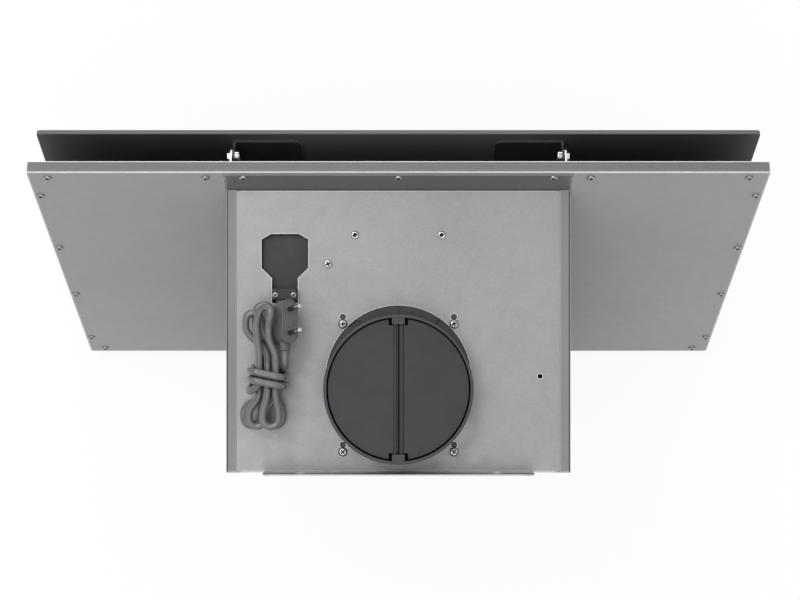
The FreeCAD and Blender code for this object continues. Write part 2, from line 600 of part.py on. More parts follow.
def scroll_outline(inset):
    """Scroll face in the YZ plane: three quarter turns whose radius grows by one
    step each, then the straight walls of the outlet neck."""
    h = SCROLL_STEP / 2
    r1, r2, r3 = (SCROLL_R + k * SCROLL_STEP - inset for k in range(3))
    c1 = V(0, WHEEL_Y - h, WHEEL_Z - h)
    c2 = V(0, WHEEL_Y + h, WHEEL_Z - h)
    c3 = V(0, WHEEL_Y + h, WHEEL_Z + h)
    neck_y = NECK_FRONT + inset
    neck_angle = math.acos((neck_y - c1.y) / r1)
    top = OUTLET_FLANGE_Z0

    def at(centre, radius, angle):
        return centre + V(0, radius * math.cos(angle), radius * math.sin(angle))

    def turn(centre, radius, a0, a1):
        ends = [at(centre, radius, a) for a in (a0, (a0 + a1) / 2, a1)]
        return Part.Arc(*ends).toShape()

    start = at(c1, r1, neck_angle)
    rear = at(c3, r3, 0)
    edges = [Part.makeLine(V(0, neck_y, top), start),
             turn(c1, r1, neck_angle, math.pi),
             turn(c2, r2, math.pi, 1.5 * math.pi),
             turn(c3, r3, 1.5 * math.pi, 2 * math.pi),
             Part.makeLine(rear, V(0, rear.y, top)),
             Part.makeLine(V(0, rear.y, top), V(0, neck_y, top))]
    return Part.Face(Part.Wire(edges))


def scroll_slab(inset, x0, x1):
    face = scroll_outline(inset)
    face.translate(V(x0, 0, 0))
    return face.extrude(V(x1 - x0, 0, 0))


def wheel_rod(radius, x0, x1):
    return rod(radius, V(x0, WHEEL_Y, WHEEL_Z), V(x1, WHEEL_Y, WHEEL_Z))


LUG_Z = -100.0


def scroll_wrap():
    """Curved wall of the blower housing with its outlet flange and front lug."""
    w = SCROLL_HALF_W - SCROLL_WALL
    inner = scroll_slab(SCROLL_WALL, -w - 1, w + 1)
    lug = box(-40, 40, -184, -150, LUG_Z - 2, LUG_Z)
    wall = cut(fuse([scroll_slab(0, -w, w), lug]), [inner])
    flange = round_plate(-62, 62, -139, -5, OUTLET_FLANGE_Z0, FLANGE_Z0, 4.0)
    ring = hole_z(57.0, 0, SPIGOT_Y, OUTLET_FLANGE_Z0 - 1, FLANGE_Z0 + 1)
    holes = [hole_z(2.1, x, y, OUTLET_FLANGE_Z0 - 1, FLANGE_Z0 + 1) for x, y in spigot_screw_places()]
    holes += [hole_z(2.1, x, -178, LUG_Z - 3, LUG_Z + 1) for x in (-30, 30)]
    return cut(fuse([wall, flange]), [ring] + holes)


def scroll_side():
    """Right side plate with the rolled lip of its air inlet."""
    w = SCROLL_HALF_W
    plate = scroll_slab(0, w - SCROLL_WALL, w)
    lip = wheel_rod(INLET_R + 1.5, w - 6, w + 2.5)
    flare = Part.makeCone(INLET_R + 5, INLET_R + 1.5, 3.0, V(w + 2.5, WHEEL_Y, WHEEL_Z), V(-1, 0, 0))
    return cut(fuse([plate, lip, flare]), [wheel_rod(INLET_R, w - 8, w + 4)])


def blade(x0, x1, angle):
    """One forward-curved blade of the wheel, an arc of sheet between two radii."""
    lean = math.radians(17)
    inner, outer = WHEEL_INNER_R, WHEEL_R - 0.6
    thick = 1.0

    def at(radius, a, shift):
        return V(x0, WHEEL_Y + (radius + shift) * math.cos(a), WHEEL_Z + (radius + shift) * math.sin(a))

    a0, a2 = angle, angle + lean
    mid = angle + lean * 0.28
    bend = (inner + outer) / 2
    front = Part.Arc(at(inner, a0, 0), at(bend, mid, 0), at(outer, a2, 0)).toShape()
    da = thick / bend
    back = Part.Arc(at(outer, a2 + da, 0), at(bend, mid + da, 0), at(inner, a0 + da, 0)).toShape()
    ends = [Part.makeLine(at(outer, a2, 0), at(outer, a2 + da, 0)),
            Part.makeLine(at(inner, a0 + da, 0), at(inner, a0, 0))]
    return Part.Face(Part.Wire([front, ends[0], back, ends[1]])).extrude(V(x1 - x0, 0, 0))


def impeller():
    """Double-inlet wheel: middle disc, hub, two rings of blades and two end rings."""
    w, web = WHEEL_HALF_W, 0.8
    pieces = [wheel_rod(WHEEL_R, -web, web), wheel_rod(10.0, -16, -web)]
    for s in (-1, 1):
        x_in, x_out = s * web, s * (w - 1.5)
        pieces.append(cut(wheel_rod(WHEEL_R, min(s * w, x_out), max(s * w, x_out)),
                          [wheel_rod(WHEEL_R - 5, -w - 1, w + 1)]))
        for k in range(BLADES):
            angle = 2 * math.pi * (k + 0.25 * s) / BLADES
            pieces.append(blade(min(x_in, x_out), max(x_in, x_out), angle))
    return cut(fuse(pieces), [wheel_rod(SHAFT_R, -20, 5)])


BUSH_R = 7.0


def motor():
    """Motor can with rounded shoulders, seated on its bracket."""
    r, x0, x1 = MOTOR_R, MOTOR_X0, MOTOR_X1
    profile = [(x0, BUSH_R), (x0, r - 14), (x0 + 6, r - 10), (x0 + 6, r - 3), (x0 + 9, r),
               (x1 - 9, r), (x1 - 6, r - 3), (x1 - 6, r - 8), (x1, r - 10), (x1, 0), (x1 - 14, 0), (x1 - 14, BUSH_R)]
    face = Part.Face(Part.makePolygon([V(x, h, 0) for x, h in profile + profile[:1]]))
    can = face.revolve(V(0, 0, 0), V(1, 0, 0), 360)
    can.translate(V(0, WHEEL_Y, WHEEL_Z))
    return can


def bush(x0):
    return cut(wheel_rod(BUSH_R, x0, x0 + 9), [wheel_rod(SHAFT_R + RUN_CLEAR, x0 - 1, x0 + 10)])


def motor_bracket():
    """Three-armed spider from the end of the motor to the right side plate."""
    x0, x1 = MOTOR_X1, MOTOR_X1 + 1.5
    pieces = [wheel_rod(28, x0, x1)]
    for angle in (30, 150, 270):
        arm = box(x0, x1, 20, 58, -8, 8)
        foot = box(SCROLL_HALF_W, x1, 51, 58, -8, 8)
        leg = fuse([arm, foot])
        leg.rotate(V(0, 0, 0), V(1, 0, 0), angle)
        leg.translate(V(0, WHEEL_Y, WHEEL_Z))
        pieces.append(leg)
    return fuse(pieces)


def blower_bracket():
    """Folded strap from the top panel down to the lug on the blower housing."""
    top, t, w = BOX_TOP - SHEET, 1.5, 45
    holes = [hole_z(3.1, x, y, top - 3, top + 1) for x, y in BLOWER_RIVETS]
    leaf = box(-w, w, -206, -185.4, top - t, top)
    drop = box(-w, w, -186.9, -185.4, LUG_Z, top)
    foot = box(-w, w, -186.9, -170, LUG_Z, LUG_Z + t)
    holes += [hole_z(2.1, x, -178, LUG_Z - 1, LUG_Z + 3) for x in (-30, 30)]
    window = box(-28, 28, -190, -180, LUG_Z + 22, top - 18)
    return cut(fuse([leaf, drop, foot]), holes + [window])


keep("scroll_wrap", scroll_wrap())
keep("scroll_side_right", scroll_side())
keep("scroll_side_left", mirror(scroll_side()))
keep("impeller", impeller())
keep("motor_shaft", wheel_rod(SHAFT_R, -18, MOTOR_X1 - 15))
keep("motor", motor())
keep("motor_bushes", Part.makeCompound([bush(MOTOR_X0), bush(MOTOR_X1 - 14 - 9)]))
keep("motor_bracket", motor_bracket())
keep("blower_bracket", blower_bracket())
keep("lug_screws", outlined_screws([(-30, -178), (30, -178)], LUG_Z + 1.5, 3.4, 2.0, 2.0, 5.0))


# ---------------------------------------------------------------- control box and lead gland
def control_box():
    """Open plastic box under the cable outlet, with an ear for its screw."""
    outer = round_plate(EL_X0, EL_X1, EL_Y0, EL_Y1, EL_BOTTOM, EL_TOP - EL_WALL, 4.0)
    inner = round_plate(EL_X0 + EL_WALL, EL_X1 - EL_WALL, EL_Y0 + EL_WALL, EL_Y1 - EL_WALL,
                        EL_BOTTOM + EL_WALL, EL_TOP, 2.0)
    x, y = BOX_SCREW
    top = BOX_TOP - SHEET
    ear = round_plate(x - 7, EL_X0, y - 6.5, y + 6.5, top - 2, top, 2.5, lambda p: p.x < x)
    riser = box(EL_X0 - 2, EL_X0 + 1, y - 6.5, y + 6.5, EL_TOP - 18, top)
    base = cut(fuse([outer, riser]), [inner, box(EL_X0 - 0.01, EL_X0 + 2, y - 7, y + 7, EL_TOP - 2, top + 1)])
    return cut(fuse([base, ear]), [hole_z(2.1, x, y, top - 3, top + 1)])


def control_cover():
    return round_plate(EL_X0, EL_X1, EL_Y0, EL_Y1, EL_TOP - EL_WALL, EL_TOP, 4.0)


def circuit_board():
    """Board with its relays, transformer and terminal block."""
    z = EL_BOTTOM + EL_WALL + 5
    board = box(EL_X0 + 4, EL_X1 - 4, EL_Y0 + 4, EL_Y1 - 4, z, z + 1.6)
    top = z + 1.6
    blocks = [box(74, 93, -200, -178, top - 0.2, top + 16),
              box(100, 115, -200, -189, top - 0.2, top + 11), box(100, 115, -184, -173, top - 0.2, top + 11),
              box(74, 112, -140, -133, top - 0.2, top + 9)]
    posts = [hole_z(2.5, x, y, EL_BOTTOM + EL_WALL, z + 0.2) for x in (73, 115) for y in (-201, -133)]
    return fuse([board] + blocks + posts)


def capacitor():
    z = EL_BOTTOM + EL_WALL + 5 + 1.6 + 9.2
    can = rod(9.0, V(96, -168, z), V(96, -143, z))
    return can.makeFillet(1.5, [e for e in can.Edges if abs(e.CenterOfMass.y + 143) < 1e-3])


GLAND_X0, GLAND_X1 = KEY_X - 10.2, KEY_X + 10.2
GLAND_Y0 = -151.0
GLAND_SCREWS = [(85.5, -145.6), (100.3, -145.6)]


def cord_gland():
    """Clamp block in the neck of the cable outlet; the lead leaves its front face."""
    y1 = CORD_EXIT.y
    block = round_plate(GLAND_X0, GLAND_X1, GLAND_Y0, y1, EL_TOP, LAY_Z + 4.4, 2.0, lambda p: p.y < -145)
    top = [e for e in block.Edges if abs(e.CenterOfMass.z - LAY_Z - 4.4) < 1e-6]
    block = block.makeFillet(1.2, top)
    return cut(block, [hole_z(1.55, x, y, EL_TOP - 1, 0) for x, y in GLAND_SCREWS])


keep("control_box", control_box())
keep("control_box_cover", control_cover())
keep("circuit_board", circuit_board())
keep("capacitor", capacitor())
keep("cord_gland", cord_gland())
keep("gland_screws", outlined_screws(GLAND_SCREWS, LAY_Z + 4.4, 2.4, 1.4, 1.5, 8.0))


# ---------------------------------------------------------------- the lead
def tube_route(points):
    """Straight runs joined by tangent arcs, each as large as its two runs allow."""
    edges, here, radii = [], points[0], []
    for before, corner, after in zip(points, points[1:], points[2:]):
        a, b = before - corner, after - corner
        turn = math.pi - a.getAngle(b)
        reach = 0.45 * min(a.Length, b.Length)
        radii.append(reach / math.tan(turn / 2))
        p, q = corner + a.normalize() * reach, corner + b.normalize() * reach
        inward = (p + q) * 0.5 - corner
        depth = radii[-1] * (1 / math.cos(turn / 2) - 1)
        edges.append(Part.makeLine(here, p))
        edges.append(Part.Arc(p, corner + inward.normalize() * depth, q).toShape())
        here = q
    edges.append(Part.makeLine(here, points[-1]))
    return Part.Wire(edges), radii


def pipe(wire, start, direction, radius):
    ring = Part.Wire(Part.makeCircle(radius, start, direction))
    return wire.makePipeShell([ring], True, False)


ALONG, BACK = V(0, 1, 0), V(0, -1, 0)


def biarc(p0, t0, p1, t1):
    """Two tangent arcs from p0, heading t0, to p1, heading t1."""
    v, t = p1 - p0, t0 + t1
    k = 1 - t0.dot(t1)
    if k < 1e-9:
        d = v.dot(v) / (4 * v.dot(t1))
    else:
        d = (-v.dot(t) + math.sqrt(v.dot(t) ** 2 + 2 * k * v.dot(v))) / (2 * k)
    a, b = p0 + t0 * d, p1 - t1 * d
    joint = (a + b) * 0.5
    return [(p0, a, joint), (joint, b, p1)]


def bow(p, corner, q):
    """The arc from p to q whose tangents meet at the corner."""
    chord = q - p
    middle = (p + q) * 0.5
    bulge = corner - middle
    if bulge.Length < 1e-6:
        return Part.makeLine(p, q), None
    alpha = (corner - p).getAngle(chord)
    height = chord.Length / 2 * math.tan(alpha / 2)
    return (Part.Arc(p, middle + bulge.normalize() * height, q).toShape(),
            chord.Length / 2 / math.sin(alpha))


class Winding:
    """Collects the points of the hank, each with its heading."""

    def __init__(self):
        self.stops = []

    def add(self, p, q, z, heading):
        """p runs along the hank towards the wall, q across it to the right."""
        self.stops.append((V(HANK_X + q, HANK_Y + p, z), V(heading).normalize()))


def layer(n):
    return LAY_Z + HANK_STEP * n


WAIST_FRONT, WAIST_REAR = -8.0, 15.0
START_P, START_Q = -26.0, 5.0
REAR_P = 38.0
COLUMNS = [1, -1, 0, -1, 1, -1, 0, -1, 1]           # strand's column at the waist
FRONT_LAYERS = [1, 1, 1, 2, 2, 3, 3, 4, 4]
REAR_LAYERS = [1, 1, 2, 2, 2.8, 3, 4, 4, 4]
# Loops at each end: layer, middle, half width, in the order they are wound.
REAR_LOOPS = [(0, 14.0, 7.0), (1.2, -5.0, 6.6), (2.4, 9.0, 6.5), (3.5, -2.5, 6.5)]
FRONT_LOOPS = [(1, -7.5, 6.2, 49.0), (2, 7.5, 6.2, 50.5), (3, 11.5, 6.4, 47.0), (4, 8.0, 6.5, 44.0)]


def wind_loops(path):
    """Nine strands drawn in at the waist, a loop at the end of each: they climb
    from layer to layer along every other strand."""
    path.add(START_P - TAIL, START_Q, layer(0), ALONG)
    path.add(START_P, START_Q, layer(0), ALONG)
    last = len(COLUMNS) - 1
    for strand, column in enumerate(COLUMNS):
        q = column * HANK_COLUMN
        near, far = layer(FRONT_LAYERS[strand]), layer(REAR_LAYERS[strand])
        if strand % 2 == 0:
            path.add(WAIST_FRONT, q, near, ALONG)
            path.add(WAIST_REAR if strand < last else WRAP_LEAVE, q, far, ALONG)
            if strand < last:
                n, c, w = REAR_LOOPS[strand // 2]
                path.add(REAR_P, c + w, layer(n), ALONG)
                path.add(REAR_P + w, c, layer(n), V(-1, 0, 0))
                path.add(REAR_P, c - w, layer(n), BACK)
        else:
            path.add(WAIST_REAR, q, far, BACK)
            path.add(WAIST_FRONT, q, near, BACK)
            n, c, w, reach = FRONT_LOOPS[strand // 2]
            path.add(w - reach, c - w, layer(n), BACK)
            path.add(-reach, c, layer(n), V(1, 0, 0))
            path.add(w - reach, c + w, layer(n), ALONG)


WRAP_LEAVE = 10.5           # where the last strand leaves the waist to wrap it
WRAP_START = 16.6
WRAP_SWING_P, WRAP_SWING_Q = 5.0, 2.4


def wind_wraps(path):
    """Two and a half turns round the waist, a rounded rectangle on a helix."""
    low, high, r, w = layer(0), layer(5), WRAP_CORNER, WRAP_SIDE
    quarter = math.pi * r / 2
    tall, wide = high - low - 2 * r, 2 * (w - r)
    slope = -WRAP_PITCH / (2 * tall + 2 * wide + 4 * quarter)
    ring = [(tall, w, low + r, 0, -1), (quarter, w - r, low, -1, 0),
            (wide, r - w, low, -1, 0), (quarter, -w, low + r, 0, 1),
            (tall, -w, high - r, 0, 1), (quarter, r - w, high, 1, 0),
            (wide, w - r, high, 1, 0), (quarter, w, high - r, 0, -1)]
    path.add(WRAP_START + WRAP_SWING_P, w + WRAP_SWING_Q, (low + high) / 2, V(0, slope, -1))
    run = -tall / 2
    for k in range(2 * len(ring) + 4):
        step, q, z, across, up = ring[k % len(ring)]
        run += step
        path.add(WRAP_START + slope * run, q, z, V(across, slope, up))


def plug_placement():
    z, y, x = PLUG_TURN
    turn = (FreeCAD.Rotation(V(0, 0, 1), z).multiply(FreeCAD.Rotation(V(0, 1, 0), y))
            .multiply(FreeCAD.Rotation(V(1, 0, 0), x)))
    return FreeCAD.Placement(PLUG_CENTRE, turn)


def hank_wire():
    path = Winding()
    wind_loops(path)
    wind_wraps(path)
    plug = plug_placement()
    out = plug.Rotation.multVec(V(0, 1, 0))
    end = plug.multVec(V(0, PLUG_L / 2 + PLUG_BOOT, 0))
    stops = path.stops + [(end + out * TAIL, out * -1), (end, out * -1)]
    edges, radii = [], []
    for (p0, t0), (p1, t1) in zip(stops, stops[1:]):
        straight = (p1 - p0).cross(t0).Length < 1e-6 and t0.cross(t1).Length < 1e-6
        if straight:
            edges.append(Part.makeLine(p0, p1))
            continue
        for arc in biarc(p0, t0, p1, t1):
            edge, radius = bow(*arc)
            edges.append(edge)
            if radius:
                radii.append(radius)
    return Part.Wire(edges), radii, stops[0]


def least_gap(wire):
    """Smallest distance of the tube's skin to itself, on points 1 mm apart."""
    points = []
    for edge in wire.OrderedEdges:
        count = max(2, int(edge.Length) + 1)
        points += edge.discretize(Number=count)[:-1]
    run = [0.0]
    for a, b in zip(points, points[1:]):
        run.append(run[-1] + a.distanceToPoint(b))
    least = 1e9
    for i, a in enumerate(points):
        for j in range(i + 1, len(points)):
            if run[j] - run[i] > 2.4 * CORD_D:
                least = min(least, a.distanceToPoint(points[j]))
    return least - CORD_D


def lead():
    hank_path, radii, (start, heading) = hank_wire()
    bend = [CORD_EXIT, CORD_EXIT + ALONG * 8.4, start + BACK * 8.4, start]
    free_path, free_radii = tube_route(bend)
    free = pipe(free_path, CORD_EXIT, bend[1] - bend[0], CORD_D / 2)
    hank = pipe(hank_path, start, heading, CORD_D / 2)
    section = math.pi * (CORD_D / 2) ** 2
    for name, solid, path in (("cord_free", free, free_path), ("cord_hank", hank, hank_path)):
        print(name, "length %.1f" % path.Length, "volume over section %.1f" % (solid.Volume / section),
              "valid", solid.isValid())
    print("bend radii of cord_free", [round(r, 1) for r in free_radii],
          "smallest of cord_hank %.1f" % min(radii))
    print("least gap of the hank to itself %.2f" % least_gap(hank_path))
    keep("cord_free", free)
    keep("cord_hank", hank)


def plug():
    """Flat two-pin plug on its side, its lead leaving at the end nearer the wall."""
    place = plug_placement()
    r, run = PLUG_T / 2, PLUG_L / 2 - PLUG_T / 2
    face, back = PLUG_DEPTH / 2, -PLUG_DEPTH / 2

    def oval(scale, z):
        a, b = r * scale, run
        edges = [Part.makeLine(V(a, -b, z), V(a, b, z)), Part.Arc(V(a, b, z), V(0, b + a, z), V(-a, b, z)).toShape(),
                 Part.makeLine(V(-a, b, z), V(-a, -b, z)),
                 Part.Arc(V(-a, -b, z), V(0, -b - a, z), V(a, -b, z)).toShape()]
        return Part.Wire(edges)

    body = Part.makeLoft([oval(0.86, back), oval(1.0, face - 5), oval(1.0, face)], True, True)
    boot = Part.makeCone(5.4, 3.9, PLUG_BOOT + 6, V(0, PLUG_L / 2 - 6, 0), V(0, 1, 0))
    body = fuse([body, boot])
    body = body.transformed(place.Matrix, True)
    pins, sleeves = [], []
    core = 1.4
    for s in (-1, 1):
        y = s * PIN_PITCH / 2
        tip = rod(PIN_R, V(0, y, face + SLEEVE_L), V(0, y, face + PIN_L))
        tip = tip.makeFillet(1.2, [e for e in tip.Edges if e.CenterOfMass.z > face + PIN_L - 0.1])
        pins.append(fuse([tip, rod(core, V(0, y, face), V(0, y, face + SLEEVE_L + 0.5))]))
        sleeves.append(cut(rod(PIN_R - 0.05, V(0, y, face), V(0, y, face + SLEEVE_L)),
                           [rod(core, V(0, y, face - 1), V(0, y, face + SLEEVE_L + 1))]))
    keep("plug_body", body)
    keep("plug_pins", Part.makeCompound([p.transformed(place.Matrix, True) for p in pins]))
    keep("pin_sleeves", Part.makeCompound([p.transformed(place.Matrix, True) for p in sleeves]))


lead()
plug()

# ---------------------------------------------------------------- write the pieces
os.makedirs("parts", exist_ok=True)
for name, shape in nodes.items():
    if not shape.isValid() or not shape.Solids:
        print("NOT SOUND:", name)
    shape.exportStep("parts/" + name + ".step")
print(len(nodes), "nodes")
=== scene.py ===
import math

import bmesh
import bpy
from mathutils import Matrix, Vector

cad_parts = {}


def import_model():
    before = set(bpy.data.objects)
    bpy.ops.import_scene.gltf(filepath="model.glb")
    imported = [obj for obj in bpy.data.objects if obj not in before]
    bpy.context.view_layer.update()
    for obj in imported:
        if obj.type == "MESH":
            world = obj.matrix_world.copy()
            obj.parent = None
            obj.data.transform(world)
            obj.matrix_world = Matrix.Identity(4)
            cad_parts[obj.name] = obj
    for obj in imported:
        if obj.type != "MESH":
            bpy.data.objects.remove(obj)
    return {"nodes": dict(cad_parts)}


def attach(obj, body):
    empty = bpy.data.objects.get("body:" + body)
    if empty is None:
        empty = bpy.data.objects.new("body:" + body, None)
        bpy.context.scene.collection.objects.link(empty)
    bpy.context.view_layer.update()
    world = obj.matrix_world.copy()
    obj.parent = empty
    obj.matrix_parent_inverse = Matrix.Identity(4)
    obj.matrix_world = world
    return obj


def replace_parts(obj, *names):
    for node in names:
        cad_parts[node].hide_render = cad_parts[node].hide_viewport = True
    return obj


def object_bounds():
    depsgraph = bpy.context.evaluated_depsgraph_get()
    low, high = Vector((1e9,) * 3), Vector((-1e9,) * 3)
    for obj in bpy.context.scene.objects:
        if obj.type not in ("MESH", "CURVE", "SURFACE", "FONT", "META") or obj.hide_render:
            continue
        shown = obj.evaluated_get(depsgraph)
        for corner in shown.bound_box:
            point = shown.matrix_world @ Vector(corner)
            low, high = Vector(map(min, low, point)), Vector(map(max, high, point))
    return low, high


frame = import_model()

# Looks of the inclined wall hood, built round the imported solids. +Z is up, +Y points
# into the wall and +X is to the right of someone facing the hood. Lengths are in
# metres, apart from the lead, the fasteners, the plug's trim and the grain of the
# materials, which are in millimetres.
cad_low, cad_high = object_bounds()
nodes = frame["nodes"]
MM = 0.001


def srgb(value):
    """Linear value of an 8-bit grey or colour channel."""
    c = value / 255
    return c / 12.92 if c <= 0.04045 else ((c + 0.055) / 1.055) ** 2.4


def grey(value, warm=0.0):
    """A grey by its 8-bit level; warm tilts it towards yellow, minus towards blue."""
    return (srgb(value * (1 + warm)), srgb(value), srgb(value * (1 - warm)), 1)


UP = Vector((0, 0, 1))
SLOPE = math.radians(66.0)                                  # of the tray and the glass
OUT = Vector((0, math.sin(SLOPE), math.cos(SLOPE)))         # square to the tray's back, off the room
UP_SLOPE = Vector((0, -math.cos(SLOPE), math.sin(SLOPE)))


# ------------------------------------------------------------------ camera
camera_data = bpy.data.cameras.new("camera")
camera_data.sensor_width = 36.0
camera_data.lens = 90.2
camera_data.clip_start = 0.05
camera_data.clip_end = 20.0
camera = bpy.data.objects.new("camera", camera_data)
camera.location = (-0.0013, -0.1415, 1.627)
camera.rotation_euler = (0, 0, math.pi)     # straight down, front of the hood at the top
bpy.context.scene.collection.objects.link(camera)
bpy.context.scene.camera = camera
bpy.context.scene.view_settings.view_transform = "Standard"


# ------------------------------------------------------------------ the lead
# The route of the lead, in millimetres: each stop is a point and a heading. Where
# a run is straight the curve has the stops themselves as its points, and elsewhere
# the two places where the tangents of the two arcs between its stops meet.
CORD_D = 6.0
BOX_TOP = -15.0
LAY_Z = BOX_TOP + CORD_D / 2 + 0.2      # of a strand that lies on the box's top panel
CORD_EXIT = Vector((96.5, -141.4, LAY_Z))
ALONG, BACK = Vector((0, 1, 0)), Vector((0, -1, 0))
EXIT_RUN, START_RUN = 8.4, 14.4         # from the exit, and before the hank's first stop

# In the hank p runs along it towards the wall, q across it, and its layers are
# counted upwards from the top panel. A strand runs from one end to the other.
HANK_X, HANK_Y = 105.5, -84.0
HANK_STEP, HANK_COLUMN = 7.0, 6.7       # from layer to layer, and from column to column
HANK_TOP = 5                            # the layer of the wraps' upper runs
START_P, START_Q, REAR_P = -26.0, 5.0, 38.0         # the first stop, and the rear loops' ends
WAIST_FRONT, WAIST_REAR = -8.0, 15.0    # the straight stretch under the wraps
WRAP_LEAVE = 5.8                        # where the last strand leaves it for the wraps
COLUMNS = [1, -1, 0, -1, 1, -1, 0, -1, 1]           # of each strand at the waist
FRONT_LAYERS = [1, 1, 1, 2, 2, 3, 3, 4, 4]          # of each strand before the waist
REAR_LAYERS = [1, 1, 2, 2, 2.8, 3, 4, 4, 4]         # of each strand behind the waist
# Each rear loop: layer, middle and half width.
REAR_LOOPS = [(0, 14.0, 7.0), (1.2, -5.0, 6.6), (2.4, 9.0, 6.5), (3.5, -2.5, 6.5)]
# Each front loop: layer, middle, half width, reach, lean of its sides, and how much
# higher it comes in than it goes out.
FRONT_LOOPS = [(1, -7.5, 6.2, 49.0, 0, 0), (2, 3.5, 6.3, 53.5, 0.1, 0), (3, 11.5, 6.4, 47.0, 0, 0),
               (4, 0.4, 5.1, 52.0, 0.25, 6.0)]
BULGE_P, BULGE_Q = -32.0, -1.2          # where the last front loop swings round the plug
BULGE_ROLL = 0.3                        # share of that loop's rise that it has there
WRAP_START, WRAP_PITCH = 14.2, 6.9      # the first wrap, and from one to the next
WRAP_TILT = 0.14                        # the wraps lie further forward towards +X
WRAP_SIDE = 13.6                        # half width of the wraps
WRAP_CUT, WRAP_BEND = 4.1, 9.9          # from a corner to its bevel, and to the straight
SIDE_P, SIDE_Q = 5.0, 16.0              # where the last strand turns down into the wraps

PLUG_CENTRE = Vector((91.5, -123.5, 14.5))
PLUG_TURN = (Matrix.Rotation(math.radians(-4), 3, "Z") @ Matrix.Rotation(math.radians(-30), 3, "Y")
             @ Matrix.Rotation(math.radians(10), 3, "X"))
PLUG_L, PLUG_BOOT = 36.0, 5.0
# From the last wrap to the plug.
PLUG_RISE = [Vector((91.6, -85.0, 10.5)), Vector((91.2, -91.5, 18.4))]


def layer(n):
    """Height of the middle of a strand in a layer."""
    return LAY_Z + HANK_STEP * n


def hank_stop(p, q, z, heading):
    """A stop at a place in the hank, as a point and a unit heading."""
    return Vector((HANK_X + q, HANK_Y + p, z)), Vector(heading).normalized()


def strand_stops():
    """Stops of the nine strands and of the loops between them."""
    stops = [hank_stop(START_P, START_Q, layer(0), ALONG)]
    last = len(COLUMNS) - 1
    for strand, column in enumerate(COLUMNS):
        q = column * HANK_COLUMN
        near, far = layer(FRONT_LAYERS[strand]), layer(REAR_LAYERS[strand])
        if strand % 2 == 0:
            stops.append(hank_stop(WAIST_FRONT, q, near, ALONG))
            stops.append(hank_stop(WAIST_REAR if strand < last else WRAP_LEAVE, q, far, ALONG))
            if strand < last:
                n, c, w = REAR_LOOPS[strand // 2]
                stops.append(hank_stop(REAR_P, c + w, layer(n), ALONG))
                stops.append(hank_stop(REAR_P + w, c, layer(n), (-1, 0, 0)))
                stops.append(hank_stop(REAR_P, c - w, layer(n), BACK))
        else:
            stops.append(hank_stop(WAIST_REAR, q, far, BACK))
            stops.append(hank_stop(WAIST_FRONT, q, near, BACK))
            n, c, w, reach, lean, roll = FRONT_LOOPS[strand // 2]
            if roll:
                stops.append(hank_stop(BULGE_P, BULGE_Q, layer(n) + roll * BULGE_ROLL, BACK))
            bend = math.hypot(w, roll / 2)
            stops.append(hank_stop(bend - reach, c + lean * bend - w, layer(n) + roll, (-lean, -1, 0)))
            stops.append(hank_stop(-reach, c, layer(n) + roll / 2, (2 * w, 0, -roll)))
            stops.append(hank_stop(bend - reach, c + lean * bend + w, layer(n), (lean, 1, 0)))
    return stops


def wrap_points():
    """Two and a half turns round the waist, four points at each bevelled corner."""
    low, high, w, c, e = layer(0), layer(HANK_TOP), WRAP_SIDE, WRAP_CUT, WRAP_BEND
    ring = [(w, low + e), (w, low + c), (w - c, low), (w - e, low),
            (e - w, low), (c - w, low), (-w, low + c), (-w, low + e),
            (-w, high - e), (-w, high - c), (c - w, high), (e - w, high),
            (w - e, high), (w - c, high), (w, high - c), (w, high - e)]
    count = len(ring)
    slope = WRAP_PITCH / sum(math.dist(ring[k - 1], ring[k]) for k in range(count))
    points, gone = [], (high - low) / 2 - e
    for k in range(2 * count + count // 2):
        q, z = ring[k % count]
        points.append(Vector((HANK_X + q, HANK_Y + WRAP_START - slope * gone - WRAP_TILT * q, z)))
        gone += math.dist(ring[k % count], ring[(k + 1) % count])
    return points


def corner_pair(p0, t0, p1, t1):
    """Where the tangents of the two arcs between two stops meet."""
    v, t = p1 - p0, t0 + t1
    k = 1 - t0.dot(t1)
    if k < 1e-9:
        d = v.dot(v) / (4 * v.dot(t1))
    else:
        d = (-v.dot(t) + math.sqrt(v.dot(t) ** 2 + 2 * k * v.dot(v))) / (2 * k)
    return [p0 + t0 * d, p1 - t1 * d]


def lead_points():
    """Control points of the whole lead, from the clamp to the plug's boot."""
    stops = strand_stops()
    start = stops[0][0]
    points = [CORD_EXIT, CORD_EXIT + ALONG * EXIT_RUN, start + BACK * START_RUN, start]
    middle = (layer(0) + layer(HANK_TOP)) / 2
    side = hank_stop(WRAP_START + SIDE_P - WRAP_TILT * SIDE_Q, SIDE_Q, middle, (0, -0.05, -1))
    for (p0, t0), (p1, t1) in zip(stops, stops[1:] + [side]):
        straight = (p1 - p0).cross(t0).length < 1e-6 and t0.cross(t1).length < 1e-6
        points += [p0, p1] if straight else corner_pair(p0, t0, p1, t1)
    out = PLUG_TURN @ ALONG
    end = PLUG_CENTRE + out * (PLUG_L / 2 + PLUG_BOOT)
    return points + wrap_points() + PLUG_RISE + [end]


def lead_curve():
    """The lead as one curve of even thickness."""
    data = bpy.data.curves.new("mains_lead", "CURVE")
    data.dimensions = "3D"
    data.bevel_depth = 1.0                  # times each point's radius
    data.bevel_resolution = 6
    data.resolution_u = 6
    spline = data.splines.new("NURBS")
    points = lead_points()
    spline.points.add(len(points) - 1)
    for knot, p in zip(spline.points, points):
        knot.co = (*(p * MM), 1)
        knot.radius = CORD_D / 2 * MM
    spline.order_u = 3
    spline.use_endpoint_u = True
    lead = bpy.data.objects.new("mains_lead", data)
    bpy.context.scene.collection.objects.link(lead)
    return lead


lead = lead_curve()
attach(lead, "hood")
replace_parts(lead, "cord_free", "cord_hank")


